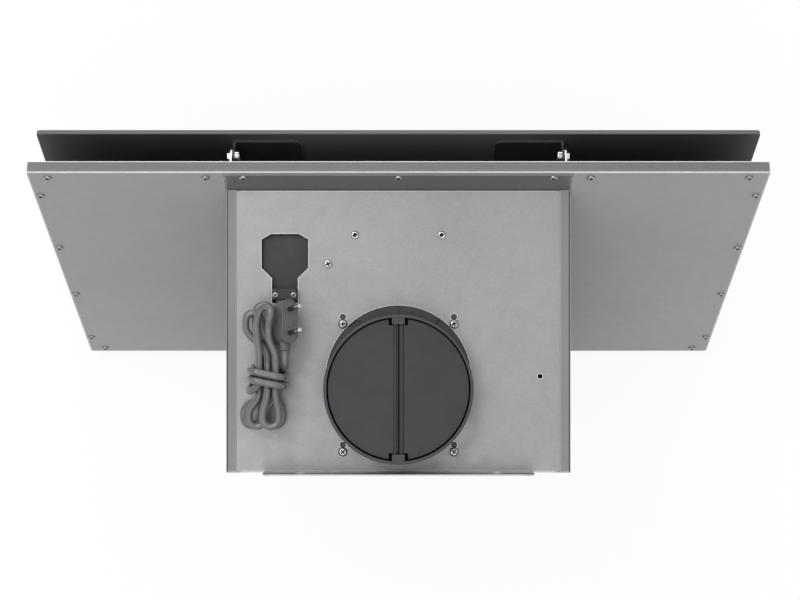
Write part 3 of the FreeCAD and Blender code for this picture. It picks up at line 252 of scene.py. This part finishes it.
# ------------------------------------------------------------------ materials
MIX_A, MIX_B, MIX_OUT = 6, 7, 2         # a Mix node's sockets for colours
SCRATCHES = (1, 1, 6)                   # stretch of the grain of turned metal

# Masks go from none at the first value of a pair to full at the second: by the part
# of a normal that points in a direction, or by a distance in metres.
SQUARE_ON, ROUGHLY_ON, ON_BEND = (0.8, 0.95), (0.6, 0.9), (0.76, 0.9)
TOP_PANEL = (0.131, 0.127)              # the zinc's painted edge highlight fades out within the side panels' top strips
BOX_FOLD = (0.1394, 0.1398)             # outer edges of those strips, where painted shade lies
GLASS_MIDDLE = (0.15, 0.1)              # where the glass's back is painted paler, as painted light
TAB_DARK_LOW, TAB_DARK_HIGH = (-0.003, -0.002), (0.008, 0.007)      # edges of the painted dark reflection along the wall tab


class Paint:
    """A procedural material: colours, roughness and bump come from noises in
    object space, whose sizes are given in millimetres."""

    def __init__(self, name, metallic=0.0, specular=0.5, coat=0.0, coat_roughness=0.1):
        self.data = bpy.data.materials.new(name)
        self.data.use_nodes = True
        self.tree = self.data.node_tree
        self.shader = self.tree.nodes["Principled BSDF"]
        self.shader.inputs["Metallic"].default_value = metallic
        self.shader.inputs["Specular IOR Level"].default_value = specular
        self.shader.inputs["Coat Weight"].default_value = coat
        self.shader.inputs["Coat Roughness"].default_value = coat_roughness
        place = self.node("ShaderNodeTexCoord")
        self.where, self.normal = place.outputs["Object"], place.outputs["Normal"]

    def node(self, kind, **settings):
        """A new shader node with its settings."""
        made = self.tree.nodes.new(kind)
        for key, value in settings.items():
            setattr(made, key, value)
        return made

    def link(self, a, b):
        self.tree.links.new(a, b)

    def stretch(self, scale):
        """The object's coordinates scaled apart, for grain that runs one way."""
        mapping = self.node("ShaderNodeMapping")
        mapping.inputs["Scale"].default_value = scale
        self.link(self.where, mapping.inputs["Vector"])
        return mapping.outputs["Vector"]

    def noise(self, size, detail=3.0, rough=0.5, stretch=None):
        """Soft clouds or specks of about a size."""
        made = self.node("ShaderNodeTexNoise")
        made.inputs["Scale"].default_value = 1000.0 / size
        made.inputs["Detail"].default_value = detail
        made.inputs["Roughness"].default_value = rough
        self.link(self.stretch(stretch) if stretch else self.where, made.inputs["Vector"])
        return made.outputs["Fac"]

    def cells(self, size, feature="F1", stretch=None):
        """A node of crystal-like cells of about a size."""
        made = self.node("ShaderNodeTexVoronoi", feature=feature)
        made.inputs["Scale"].default_value = 1000.0 / size
        self.link(self.stretch(stretch) if stretch else self.where, made.inputs["Vector"])
        return made

    def ranged(self, value, low, high, out_low=0.0, out_high=1.0):
        """A value whose run from low to high becomes that from out_low to out_high."""
        made = self.node("ShaderNodeMapRange")
        ends = {"From Min": low, "From Max": high, "To Min": out_low, "To Max": out_high}
        for key, number in ends.items():
            made.inputs[key].default_value = number
        self.link(value, made.inputs["Value"])
        return made.outputs["Result"]

    def math(self, operation, a, b):
        made = self.node("ShaderNodeMath", operation=operation)
        for socket, value in zip(made.inputs, (a, b)):
            if isinstance(value, (int, float)):
                socket.default_value = value
            else:
                self.link(value, socket)
        return made.outputs["Value"]

    def mix(self, factor, a, b):
        made = self.node("ShaderNodeMix", data_type="RGBA")
        for key, value in (("Factor", factor), (MIX_A, a), (MIX_B, b)):
            socket = made.inputs[key]
            if isinstance(value, (int, float, tuple)):
                socket.default_value = value
            else:
                self.link(value, socket)
        return made.outputs[MIX_OUT]

    def across(self, low, high):
        """A mask by the distance from the middle plane, in metres."""
        split = self.node("ShaderNodeSeparateXYZ")
        self.link(self.where, split.inputs["Vector"])
        return self.ranged(self.math("ABSOLUTE", split.outputs["X"], 0.0), low, high)

    def facing(self, direction, low, high):
        """A mask that is bright where the surface faces a direction of the object at rest."""
        turn = self.node("ShaderNodeVectorMath", operation="DOT_PRODUCT")
        turn.inputs[1].default_value = direction
        self.link(self.normal, turn.inputs[0])
        return self.ranged(turn.outputs["Value"], low, high)

    def edges(self, radius, low=0.02, high=0.25):
        """A mask that is bright on sharp edges, for painted highlights along bent and cut edges."""
        bevel = self.node("ShaderNodeBevel", samples=8)
        bevel.inputs["Radius"].default_value = radius * MM
        plain = self.node("ShaderNodeNewGeometry")
        turn = self.node("ShaderNodeVectorMath", operation="DOT_PRODUCT")
        self.link(bevel.outputs["Normal"], turn.inputs[0])
        self.link(plain.outputs["Normal"], turn.inputs[1])
        return self.ranged(turn.outputs["Value"], 1 - low, 1 - high)

    def colour(self, socket):
        self.link(socket, self.shader.inputs["Base Color"])

    def roughness(self, socket):
        self.link(socket, self.shader.inputs["Roughness"])

    def bump(self, height, depth, strength=0.5):
        made = self.node("ShaderNodeBump")
        made.inputs["Strength"].default_value = strength
        made.inputs["Distance"].default_value = depth * MM
        self.link(height, made.inputs["Height"])
        self.link(made.outputs["Normal"], self.shader.inputs["Normal"])


def galvanised(name, lines=()):
    """Zinc-coated sheet: faint spangle, cloudy tone, fine rolling marks and a painted highlight
    along sharp edges. lines holds pairs: a function that makes a mask, and the grey that it lays on."""
    m = Paint(name, metallic=0.55)
    spangle = m.cells(9.0)
    split = m.node("ShaderNodeSeparateColor")
    m.link(spangle.outputs["Color"], split.inputs["Color"])
    cloud = m.ranged(m.noise(90.0, 4.0), 0.3, 0.7)
    fleck = m.ranged(m.noise(1.6, 2.0, 0.6, (1, 2.4, 1)), 0.35, 0.65)
    tone = m.mix(cloud, grey(143), grey(152))
    flecked = m.mix(m.math("MULTIPLY", fleck, 0.35), tone, grey(172))
    spangled = m.mix(m.math("MULTIPLY", split.outputs["Red"], 0.16), flecked, grey(140))
    # Painted highlight: sharp edges inside the top panel are laid over with near-white.
    inner = m.math("MULTIPLY", m.across(*TOP_PANEL), 0.85)
    look = m.mix(m.math("MULTIPLY", m.edges(1.3, 0.03, 0.2), inner), spangled, grey(250))
    for mask, shade in lines:
        look = m.mix(mask(m), look, grey(shade))
    m.colour(look)
    m.roughness(m.ranged(m.noise(14.0, 3.0), 0.3, 0.7, 0.36, 0.5))
    m.bump(m.noise(2.2, 3.0, 0.6, (1, 2.0, 1)), 0.05, 0.35)
    return m.data


def coated(name, level, rough, grain=0.9, metallic=0.0, edge=0.35, highlight_width=1.2, edge_level=0,
           lines=()):
    """Powder-coated sheet: an even tone with a fine orange-peel surface, and a painted
    highlight along its sharp edges. lines is as in galvanised."""
    m = Paint(name, metallic=metallic)
    cloud = m.ranged(m.noise(120.0, 3.0), 0.3, 0.7)
    speck = m.ranged(m.noise(grain, 2.0), 0.35, 0.65)
    tone = m.mix(cloud, grey(level - 2), grey(level + 2))
    specked = m.mix(m.math("MULTIPLY", speck, 0.25), tone, grey(level + 7))
    for mask, shade in lines:
        specked = m.mix(mask(m), specked, grey(shade))
    # Painted highlight: sharp edges are laid over with a paler grey.
    edge_highlight = m.math("MULTIPLY", m.edges(highlight_width, 0.01, 0.12), edge)
    m.colour(m.mix(edge_highlight, specked, grey(edge_level or level + 90)))
    m.roughness(m.ranged(m.noise(8.0, 3.0), 0.3, 0.7, rough - 0.05, rough + 0.07))
    m.bump(m.noise(grain, 2.0), 0.02, 0.3)
    return m.data


def moulded(name, level, rough, blue=0.0, edge=0.3, grain=0.7):
    """Moulded plastic with a fine spark-eroded grain and a painted highlight along its edges."""
    m = Paint(name, specular=0.45)
    cloud = m.ranged(m.noise(45.0, 4.0), 0.3, 0.7)
    tone = m.mix(cloud, grey(level - 3, -blue), grey(level + 4, -blue))
    # Painted highlight: edges are laid over with a paler grey.
    m.colour(m.mix(m.math("MULTIPLY", m.edges(0.35), edge), tone, grey(level + 40, -blue)))
    m.roughness(m.ranged(m.noise(12.0, 3.0), 0.3, 0.7, rough - 0.06, rough + 0.08))
    m.bump(m.noise(grain, 2.0), 0.015, 0.4)
    return m.data


def bright(name, level, rough):
    """Plated or turned metal with fine scratches."""
    m = Paint(name, metallic=1.0)
    scratch = m.ranged(m.noise(0.8, 3.0, 0.6, SCRATCHES), 0.3, 0.7)
    m.colour(m.mix(scratch, grey(level - 14), grey(level + 10)))
    m.roughness(m.ranged(m.noise(3.0, 3.0), 0.3, 0.7, rough - 0.06, rough + 0.1))
    m.bump(m.noise(0.5, 2.0, 0.5, SCRATCHES), 0.01, 0.25)
    return m.data


def sheath():
    """Grey flexible sheath of the lead, with a soft sheen and fine drag lines."""
    m = Paint("lead_sheath", specular=0.6, coat=0.7, coat_roughness=0.09)
    cloud = m.ranged(m.noise(18.0, 4.0), 0.3, 0.7)
    m.colour(m.mix(cloud, grey(88), grey(102)))
    m.roughness(m.ranged(m.noise(5.0, 3.0), 0.3, 0.7, 0.26, 0.4))
    m.bump(m.noise(0.9, 3.0), 0.02, 0.3)
    return m.data


def black_glass():
    """Tempered glass: a polished black front, a satin back painted paler in its middle as painted light,
    and a ground top edge.
    """
    m = Paint("black_glass", specular=0.5)
    smear = m.ranged(m.noise(70.0, 4.0, 0.6), 0.4, 0.75)
    front = m.facing(-OUT, *ROUGHLY_ON)
    # Painted light: the back is paler in its middle than at its sides.
    middle = m.across(*GLASS_MIDDLE)
    back = m.mix(middle, m.mix(smear, grey(50), grey(56)), m.mix(smear, grey(76), grey(82)))
    tone = m.mix(front, back, m.mix(smear, grey(18), grey(22)))
    m.colour(m.mix(m.facing(UP_SLOPE, *ROUGHLY_ON), tone, grey(94)))
    wave = m.ranged(m.noise(40.0, 4.0), 0.3, 0.7, 0.0, 0.08)
    m.roughness(m.math("ADD", wave, m.ranged(front, 0.0, 1.0, 0.4, 0.06)))
    m.bump(m.noise(60.0, 2.0), 0.02, 0.05)
    return m.data


def board():
    """Green circuit board with its tracks."""
    m = Paint("circuit_board_green", specular=0.5)
    track = m.ranged(m.cells(6.0, "DISTANCE_TO_EDGE").outputs["Distance"], 0.04, 0.07)
    m.colour(m.mix(track, (0.05, 0.26, 0.1, 1), (0.015, 0.12, 0.05, 1)))
    m.roughness(m.ranged(m.noise(4.0), 0.3, 0.7, 0.3, 0.45))
    m.bump(track, 0.05, 0.4)
    return m.data


def bronze():
    """Porous bronze of the shaft's bushes."""
    m = Paint("sintered_bronze", metallic=1.0)
    m.colour(m.mix(m.ranged(m.noise(0.8), 0.3, 0.7), (0.36, 0.22, 0.1, 1), (0.5, 0.33, 0.16, 1)))
    m.roughness(m.ranged(m.noise(1.0), 0.3, 0.7, 0.4, 0.55))
    m.bump(m.noise(0.6), 0.02, 0.4)
    return m.data


def frosted():
    """Pebbled plastic of the lamps' lenses."""
    m = Paint("frosted_lens", specular=0.5, coat=0.3)
    m.colour(m.mix(m.ranged(m.noise(5.0), 0.3, 0.7), grey(214), grey(230)))
    m.roughness(m.ranged(m.noise(1.5), 0.3, 0.7, 0.3, 0.42))
    m.bump(m.cells(1.8).outputs["Distance"], 0.1, 0.4)
    return m.data


def mesh_weave():
    """Expanded aluminium mesh drawn as bump and dark gaps; the dark gaps are painted shade in its
    openings.
    """
    m = Paint("expanded_mesh", metallic=0.8)
    gap = m.ranged(m.cells(2.6, "F1", (1, 1.8, 1.8)).outputs["Distance"], 0.18, 0.4)
    m.colour(m.mix(gap, grey(60), grey(190)))
    m.roughness(m.ranged(m.noise(4.0), 0.3, 0.7, 0.3, 0.45))
    m.bump(gap, 0.4, 0.8)
    return m.data


def tab_front(m):
    """The wall tab's face, which carries a painted reflection of the pale panel before it."""
    return m.facing(-ALONG, *SQUARE_ON)


def tab_dark_reflection(m):
    """A painted dark reflection in a band along the wall tab's face."""
    split = m.node("ShaderNodeSeparateXYZ")
    m.link(m.where, split.inputs["Vector"])
    above = m.ranged(split.outputs["Z"], *TAB_DARK_LOW)
    below = m.ranged(split.outputs["Z"], *TAB_DARK_HIGH)
    return m.math("MULTIPLY", m.math("MULTIPLY", above, below), tab_front(m))


def back_ledge_light(m):
    """The tray's back ledge above the rear frame, painted paler as painted light."""
    return m.facing(OUT, *SQUARE_ON)


def frame_fold(m):
    """The folded upper edge of the rear frame."""
    return m.facing(UP_SLOPE, *SQUARE_ON)


def front_bend_highlight(m):
    """Painted highlight on the rounded edge between the tray's front and its top."""
    return m.facing((UP_SLOPE - OUT).normalized(), *ON_BEND)


def box_bend_shade(m):
    """Painted shade on the folded edge of the side panels' top strips, which turns away from the light.
    """
    return m.math("MULTIPLY", m.facing(UP, *SQUARE_ON), m.across(*BOX_FOLD))


zinc = galvanised("galvanised_sheet")
# Painted reflections on the wall tab: a pale one of the panel before it, and a dark band along it.
wall_zinc = galvanised("galvanised_wall_plate", lines=[(tab_front, 200), (tab_dark_reflection, 48)])
wing_paint = coated("wing_paint", 149, 0.42, edge=0.6, highlight_width=0.9)
# Painted light on the tray: pale edges, a paler back ledge and a bright front bend.
tray_paint = coated("tray_paint", 110, 0.4, metallic=0.1, edge=0.95, highlight_width=1.9, edge_level=250,
                    lines=[(back_ledge_light, 156), (front_bend_highlight, 250)])
# Painted shade along the outer folds of the side panels' top strips.
box_paint = coated("box_paint", 127, 0.4, edge=0.6, lines=[(box_bend_shade, 40)])
# Painted shade: the rear frame's dark grey stands for the shade and dark reflections on it.
shaded_frame = coated("shaded_frame", 97, 0.36, edge=0.5, lines=[(frame_fold, 150)])
hinge_steel = coated("hinge_black", 36, 0.4, edge=0.5)
bright_steel = bright("zinc_plated", 188, 0.28)
screw_steel = bright("screw_zinc", 168, 0.4)
# Dark steel of the rings of painted shade under some screw heads.
dark_steel = bright("shade_ring_steel", 62, 0.45)
chrome = bright("bright_plated", 205, 0.14)
motor_can = bright("drawn_can", 165, 0.34)
aluminium = bright("bare_aluminium", 190, 0.32)
flap_plastic = moulded("flap_plastic", 44, 0.45, blue=0.08, edge=0.08)
collar_plastic = moulded("collar_plastic", 56, 0.42, blue=0.03)
scroll_plastic = moulded("scroll_plastic", 60, 0.45)
wheel_plastic = moulded("wheel_plastic", 40, 0.42)
cover_plastic = moulded("cover_plastic", 48, 0.5)
black_plastic = moulded("black_plastic", 30, 0.4)
plug_plastic = moulded("plug_plastic", 89, 0.3)
white_plastic = moulded("white_plastic", 215, 0.3)
LOOKS = {
    zinc: ["top_panel", "bottom_panel", "blower_bracket", "motor_bracket"],
    wall_zinc: ["back_panel"],
    wing_paint: ["wing_cover_left", "wing_cover_right"],
    box_paint: ["side_panel_left", "side_panel_right"],
    tray_paint: ["body_tray", "tray_rail_left", "tray_rail_right"],
    shaded_frame: ["rear_frame"],
    hinge_steel: ["glass_hinge_plate_left", "glass_hinge_plate_right"],
    bright_steel: ["hinge_bracket_left", "hinge_bracket_right", "cover_screws", "frame_screws",
                   "spigot_screws", "blower_rivets", "box_screws", "control_box_screw",
                   "gland_screws", "lug_screws", "catch_keepers", "motor_shaft"],
    chrome: ["pivot_screws", "plug_pins", "lamp_housing_left", "lamp_housing_right"],
    motor_can: ["motor"],
    aluminium: ["filter_frame"],
    mesh_weave(): ["filter_mesh"],
    flap_plastic: ["damper_flap_left", "damper_flap_right"],
    collar_plastic: ["duct_spigot"],
    scroll_plastic: ["scroll_wrap", "scroll_side_left", "scroll_side_right", "control_box"],
    wheel_plastic: ["impeller"],
    cover_plastic: ["control_box_cover", "cord_gland"],
    black_plastic: ["touch_module", "magnet_catch_left", "magnet_catch_right", "pin_sleeves",
                    "filter_latch"],
    plug_plastic: ["plug_body"],
    white_plastic: ["capacitor"],
    black_glass(): ["glass_panel"],
    board(): ["circuit_board"],
    bronze(): ["motor_bushes"],
    frosted(): ["lamp_lens_left", "lamp_lens_right"],
    sheath(): ["cord_free", "cord_hank"],
}
for look, names in LOOKS.items():
    for name in names:
        nodes[name].data.materials.clear()
        nodes[name].data.materials.append(look)
lead.data.materials.append(nodes["cord_free"].data.materials[0])


# ------------------------------------------------------------------ fasteners
HEADS_APART = 8.0                       # two heads of one node stand further apart than this
FLAT = 0.05                             # how far the top of a head may differ from level
FIRST_TURN, NEXT_TURN = 20, 37          # degrees, so that no two heads look alike
CROWN = [(1.0, 0.4), (0.97, 0.62), (0.88, 0.81), (0.74, 0.93), (0.5, 0.99)]     # shares of a head's size
RECESS_REACH, RECESS_WIDTH = 0.68, 0.2              # shares of a head's radius
RECESS_FOOT, RECESS_FLOOR = 0.25, 0.3               # shares of its height: cut to, and painted dark as shade up to
RECESS_TAPER = 0.55


def ring_loft(rings):
    """Faces between rings of points, in millimetres; a ring of one point closes an end."""
    work = bmesh.new()
    made = [[work.verts.new(Vector(p) * MM) for p in ring] for ring in rings]
    count = max(len(ring) for ring in made)
    for low, high in zip(made, made[1:]):
        for k in range(count):
            n = (k + 1) % count
            corners = [low[k % len(low)], low[n % len(low)], high[n % len(high)], high[k % len(high)]]
            work.faces.new(list(dict.fromkeys(corners)))
    return work


def lathe(outline, count=32):
    """Solid of revolution about Z from (radius, height) pairs, in millimetres."""
    turns = [2 * math.pi * k / count for k in range(count)]
    return ring_loft([[(r * math.cos(a), r * math.sin(a), z) for a in turns] if r else [(0, 0, z)]
                      for r, z in outline])


def cross(z_low, z_top, reach, width):
    """Cutter for a cross recess, narrower at its foot."""
    rings = [[(0, 0, z_low)]]
    for z, scale in ((z_low, RECESS_TAPER), (z_top, 1.0)):
        a, b = reach * scale, width * scale
        corners = [(a, -b), (a, b), (b, b), (b, a), (-b, a), (-b, b),
                   (-a, b), (-a, -b), (-b, -b), (-b, -a), (b, -a), (b, -b)]
        rings.append([(x, y, z) for x, y in corners])
    return ring_loft(rings + [[(0, 0, z_top)]])


def add(name, work):
    """An object from a bmesh, linked to the scene."""
    bmesh.ops.recalc_face_normals(work, faces=work.faces)
    mesh = bpy.data.meshes.new(name)
    work.to_mesh(mesh)
    work.free()
    made = bpy.data.objects.new(name, mesh)
    bpy.context.scene.collection.objects.link(made)
    return made


def cut_out(work, tool):
    """The mesh of one solid less another."""
    solid, cutter = add("solid", work), add("cutter", tool)
    step = solid.modifiers.new("cut", "BOOLEAN")
    step.operation, step.solver, step.object = "DIFFERENCE", "EXACT", cutter
    mesh = bpy.data.meshes.new_from_object(solid.evaluated_get(bpy.context.evaluated_depsgraph_get()))
    bpy.data.objects.remove(solid)
    bpy.data.objects.remove(cutter)
    return mesh


def seats(node, axis, head_h):
    """Where the heads in a node meet their sheet, head_h below the heads' tops."""
    groups = []
    for v in nodes[node].data.vertices:
        near = next((g for g in groups if (g[0] - v.co).cross(axis).length < HEADS_APART * MM), None)
        if near is None:
            groups.append([v.co.copy()])
        else:
            near.append(v.co.copy())
    found = []
    for group in groups:
        top = max(p.dot(axis) for p in group)
        disc = [p for p in group if p.dot(axis) > top - FLAT * MM]
        middle = Vector([(min(p[k] for p in disc) + max(p[k] for p in disc)) / 2 for k in range(3)])
        found.append(middle - axis * head_h * MM)
    return found


def copies(name, mesh, places, axis, looks):
    """One piece on the hood from copies of a mesh, each turned a little further."""
    stand = UP.rotation_difference(axis).to_matrix().to_4x4()
    work = bmesh.new()
    for k, place in enumerate(places):
        copy = mesh.copy()
        turn = Matrix.Rotation(math.radians(FIRST_TURN + NEXT_TURN * k), 4, "Z")
        copy.transform(Matrix.Translation(place) @ stand @ turn)
        work.from_mesh(copy)
        bpy.data.meshes.remove(copy)
    piece = add(name, work)
    for look in looks:
        piece.data.materials.append(look)
    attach(piece, "hood")
    return piece


def pan_head(head_r, head_h, shank_r, shank_l):
    """Pan-head screw with a cross recess painted dark as shade, standing on z = 0."""
    shank = [(0, -shank_l), (shank_r * 0.7, -shank_l), (shank_r, 0.6 - shank_l), (shank_r, 0)]
    crown = [(head_r * r, head_h * z) for r, z in CROWN]
    body = lathe(shank + [(head_r, 0)] + crown + [(0, head_h)])
    reach, width = head_r * RECESS_REACH, head_r * RECESS_WIDTH
    mesh = cut_out(body, cross(head_h * RECESS_FOOT, head_h + 0.4, reach, width))
    # Painted shade: the recess's walls and floor take the second, black look.
    for face in mesh.polygons:
        across, height = face.center.xy.length / MM, face.center.z
        wall = across < reach and face.normal.z < 0.9
        floor_face = height < head_h * RECESS_FLOOR * MM
        in_head = height > 0.1 * MM and across < head_r * 0.75
        face.material_index = 1 if (wall or floor_face) and in_head else 0
    return mesh


# Node, axis, head radius and height, shank radius and length, look, width of the dark ring of painted
# shade under the head.
SCREWS = [("cover_screws", OUT, 3.3, 1.8, 1.6, 3.0, screw_steel, 0.0),
          ("frame_screws", OUT, 3.3, 1.8, 1.6, 3.0, bright_steel, 0.0),
          ("spigot_screws", UP, 3.4, 2.2, 2.0, 9.0, bright_steel, 0.4),
          ("control_box_screw", UP, 3.4, 2.0, 2.0, 4.5, bright_steel, 0.0),
          ("gland_screws", UP, 2.4, 1.4, 1.5, 8.0, screw_steel, 0.0)]


def screws():
    """Crossed heads in place of the plain ones, with dark rings of painted shade under some."""
    for node, axis, head_r, head_h, shank_r, shank_l, look, ring_shade_width in SCREWS:
        places = seats(node, axis, head_h)
        mesh = pan_head(head_r, head_h, shank_r, shank_l)
        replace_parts(copies(node + "_crossed", mesh, places, axis, [look, black_plastic]),
                    node)
        # Painted shade: a dark ring round the head.
        if ring_shade_width:
            r = head_r + ring_shade_width
            ring = add("ring", lathe([(shank_r + 0.1, 0.02), (r, 0.02), (r, 0.3), (r - 0.2, 0.45),
                                      (head_r - 0.3, 0.45), (head_r - 0.3, 0.02), (shank_r + 0.1, 0.02)]))
            copies(node + "_shade_rings", ring.data, places, axis, [dark_steel])
            bpy.data.objects.remove(ring)


RIVET_RISE = 1.4
RIVET_FLANGE = [(1.5, -5.6), (3.0, -5.6), (3.0, 0), (3.5, 0), (3.5, 0.3), (3.2, 0.9), (2.7, 1.3),
                (2.2, RIVET_RISE), (1.7, 1.25), (1.5, 0.9), (1.5, -5.6)]
RIVET_PIN = [(0, -5.4), (1.4, -5.4), (1.4, -1.2), (1.1, -0.9), (0.5, -0.7), (0, -0.8)]


def rivets():
    """Blind rivets: a pale rolled flange round the broken end of the pin, painted dark as shade in the
    hole.
    """
    places = seats("blower_rivets", UP, RIVET_RISE)
    flange = add("flange", lathe(RIVET_FLANGE))
    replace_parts(copies("rivet_flanges", flange.data, places, UP, [bright_steel]),
                "blower_rivets")
    pin = add("pin", lathe(RIVET_PIN))
    # Painted shade: the pin takes the black look.
    copies("rivet_pins", pin.data, places, UP, [black_plastic])
    for spare in (flange, pin):
        bpy.data.objects.remove(spare)


screws()
rivets()


# ------------------------------------------------------------------ plug and strain relief
def lead_line():
    """Points along the lead's own spline, from the exit on, in metres."""
    bare = lead.copy()
    bare.data = lead.data.copy()
    bare.data.bevel_depth = 0
    bpy.context.scene.collection.objects.link(bare)
    mesh = bpy.data.meshes.new_from_object(bare.evaluated_get(bpy.context.evaluated_depsgraph_get()))
    points = [v.co.copy() for v in mesh.vertices]
    bpy.data.objects.remove(bare)
    return points


RELIEF_IN, RELIEF_OUT = 9.0, 12.0       # inside the clamp block, and along the lead
RELIEF_R, RELIEF_TAPER = 4.0, 0.7       # radius at the clamp, and what it loses on the way
RELIEF_RIB, RELIEF_WAVE = 0.25, 2.4     # height of a rib, and radians of its wave in a millimetre
RELIEF_STEP, RELIEF_SIDES = 0.6, 24


def lead_relief():
    """Ribbed tapered sleeve where the lead leaves the clamp, flat where it lies on the panel."""
    exit_point = CORD_EXIT * MM
    path = [exit_point - ALONG * RELIEF_IN * MM, exit_point]
    line = lead_line()
    run = 0.0
    for a, b in zip(line, line[1:]):
        run += (b - a).length
        path.append(b)
        if run > RELIEF_OUT * MM:
            break
    steps, rings, travel = [], [], 0.0
    for a, b in zip(path, path[1:]):
        way = b - a
        parts = max(1, round(way.length / (RELIEF_STEP * MM)))
        steps += [(a.lerp(b, k / parts), way.normalized(), way.length / parts) for k in range(parts)]
    whole = sum(s[2] for s in steps)
    for centre, along, length in steps:
        side = along.cross(UP).normalized()
        rib = RELIEF_RIB if math.sin(travel / MM * RELIEF_WAVE) > 0 else 0.0
        r = (RELIEF_R - RELIEF_TAPER * travel / whole + rib) * MM
        ring = []
        for k in range(RELIEF_SIDES):
            a = 2 * math.pi * k / RELIEF_SIDES
            p = centre + side * r * math.cos(a) + UP * r * math.sin(a)
            p.z = max(p.z, (BOX_TOP + 0.05) * MM)
            ring.append(p / MM)
        rings.append(ring)
        travel += length
    first, last = steps[0][0] / MM, steps[-1][0] / MM
    piece = add("lead_relief", ring_loft([[first]] + rings + [[last]]))
    piece.data.materials.append(plug_plastic)
    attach(piece, "hood")


PLUG_T, PLUG_FACE = 14.0, 9.0           # width of the plug, and its pin face from its middle
# Half width and height over the pin face, round the rim and over the pad.
RIM = [(6.9, -0.2), (6.85, 0.35), (6.5, 0.55), (6.1, 0.35), (6.0, -0.2), (6.9, -0.2)]
PAD = [(3.6, -0.2), (3.5, 0.3), (3.1, 0.5)]
PAD_RUN = 1.6


def oval(r, run, z, count=12):
    """Ring of points round a rounded bar, r its half width and run half its straight side."""
    turns = [math.pi * k / count for k in range(count + 1)]
    half = [(r * math.cos(a), run + r * math.sin(a), z) for a in turns]
    return half + [(-x, -y, z) for x, y, z in half]


def plug_trim():
    """Rolled rim round the plug's pin face and a raised pad between its pins."""
    run = (PLUG_L - PLUG_T) / 2
    rim = ring_loft([oval(r, run, PLUG_FACE + z) for r, z in RIM])
    ends = [[(0, 0, PLUG_FACE + z)] for z in (PAD[0][1], PAD[-1][1])]
    pad = ring_loft([ends[0]] + [oval(r, PAD_RUN, PLUG_FACE + z) for r, z in PAD] + [ends[1]])
    spare = bpy.data.meshes.new("pad")
    pad.to_mesh(spare)
    pad.free()
    rim.from_mesh(spare)
    bpy.data.meshes.remove(spare)
    piece = add("plug_trim", rim)
    piece.data.transform(Matrix.Translation(PLUG_CENTRE * MM) @ PLUG_TURN.to_4x4())
    piece.data.materials.append(plug_plastic)
    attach(piece, "hood")


lead_relief()
plug_trim()


# ------------------------------------------------------------------ floor and light
FLOOR_Z = cad_low.z - 0.002
FLOOR_HALF = 6.0
FLOOR_GLOW = 0.9                        # share of the floor's colour that is plain white to the camera


def floor_material():
    """Pale floor whose colour is white to the camera and keeps a soft shadow."""
    m = bpy.data.materials.new("pale_floor")
    m.use_nodes = True
    tree = m.node_tree
    diffuse = tree.nodes["Principled BSDF"]
    diffuse.inputs["Base Color"].default_value = (0.98, 0.98, 0.98, 1)
    diffuse.inputs["Roughness"].default_value = 0.9
    diffuse.inputs["Specular IOR Level"].default_value = 0.0
    glow = tree.nodes.new("ShaderNodeEmission")
    glow.inputs["Color"].default_value = (1, 1, 1, 1)
    path = tree.nodes.new("ShaderNodeLightPath")
    seen = tree.nodes.new("ShaderNodeMath")
    seen.operation = "MAXIMUM"
    tree.links.new(path.outputs["Is Camera Ray"], seen.inputs[0])
    tree.links.new(path.outputs["Is Glossy Ray"], seen.inputs[1])
    share = tree.nodes.new("ShaderNodeMath")
    share.operation = "MULTIPLY"
    share.inputs[1].default_value = FLOOR_GLOW
    tree.links.new(seen.outputs[0], share.inputs[0])
    mix = tree.nodes.new("ShaderNodeMixShader")
    tree.links.new(share.outputs[0], mix.inputs["Fac"])
    tree.links.new(diffuse.outputs[0], mix.inputs[1])
    tree.links.new(glow.outputs[0], mix.inputs[2])
    tree.links.new(mix.outputs[0], tree.nodes["Material Output"].inputs["Surface"])
    return m


def floor():
    """A wide floor just under the hood."""
    mesh = bpy.data.meshes.new("floor")
    work = bmesh.new()
    bmesh.ops.create_grid(work, x_segments=1, y_segments=1, size=FLOOR_HALF)
    work.to_mesh(mesh)
    work.free()
    made = bpy.data.objects.new("floor", mesh)
    made.location = (0, 0, FLOOR_Z)
    bpy.context.scene.collection.objects.link(made)
    mesh.materials.append(floor_material())


def world():
    """White to the camera, and a softer light on the hood."""
    made = bpy.data.worlds.new("studio")
    bpy.context.scene.world = made
    made.use_nodes = True
    tree = made.node_tree
    back = tree.nodes["Background"]
    path = tree.nodes.new("ShaderNodeLightPath")
    choose = tree.nodes.new("ShaderNodeMix")
    choose.data_type = "RGBA"
    choose.inputs[MIX_A].default_value = (0.7, 0.7, 0.7, 1)
    choose.inputs[MIX_B].default_value = (1, 1, 1, 1)
    tree.links.new(path.outputs["Is Camera Ray"], choose.inputs["Factor"])
    tree.links.new(choose.outputs[MIX_OUT], back.inputs["Color"])


def lamp(name, place, target, size, watts):
    """A rectangular softbox that looks at a target."""
    data = bpy.data.lights.new(name, "AREA")
    data.shape = "RECTANGLE"
    data.size, data.size_y = size
    data.energy = watts
    made = bpy.data.objects.new(name, data)
    made.location = place
    made.rotation_mode = "QUATERNION"
    made.rotation_quaternion = (Vector(target) - Vector(place)).to_track_quat("-Z", "Y")
    bpy.context.scene.collection.objects.link(made)


floor()
world()
lamp("key", (0.85, -1.1, 2.4), (0, -0.1, -0.1), (1.1, 1.1), 21)
lamp("fill", (0.25, 0.75, 2.45), (0, -0.1, -0.1), (1.6, 1.6), 11.5)
lamp("front", (0.2, -2.4, 0.6), (0, -0.2, -0.2), (1.6, 0.9), 11)
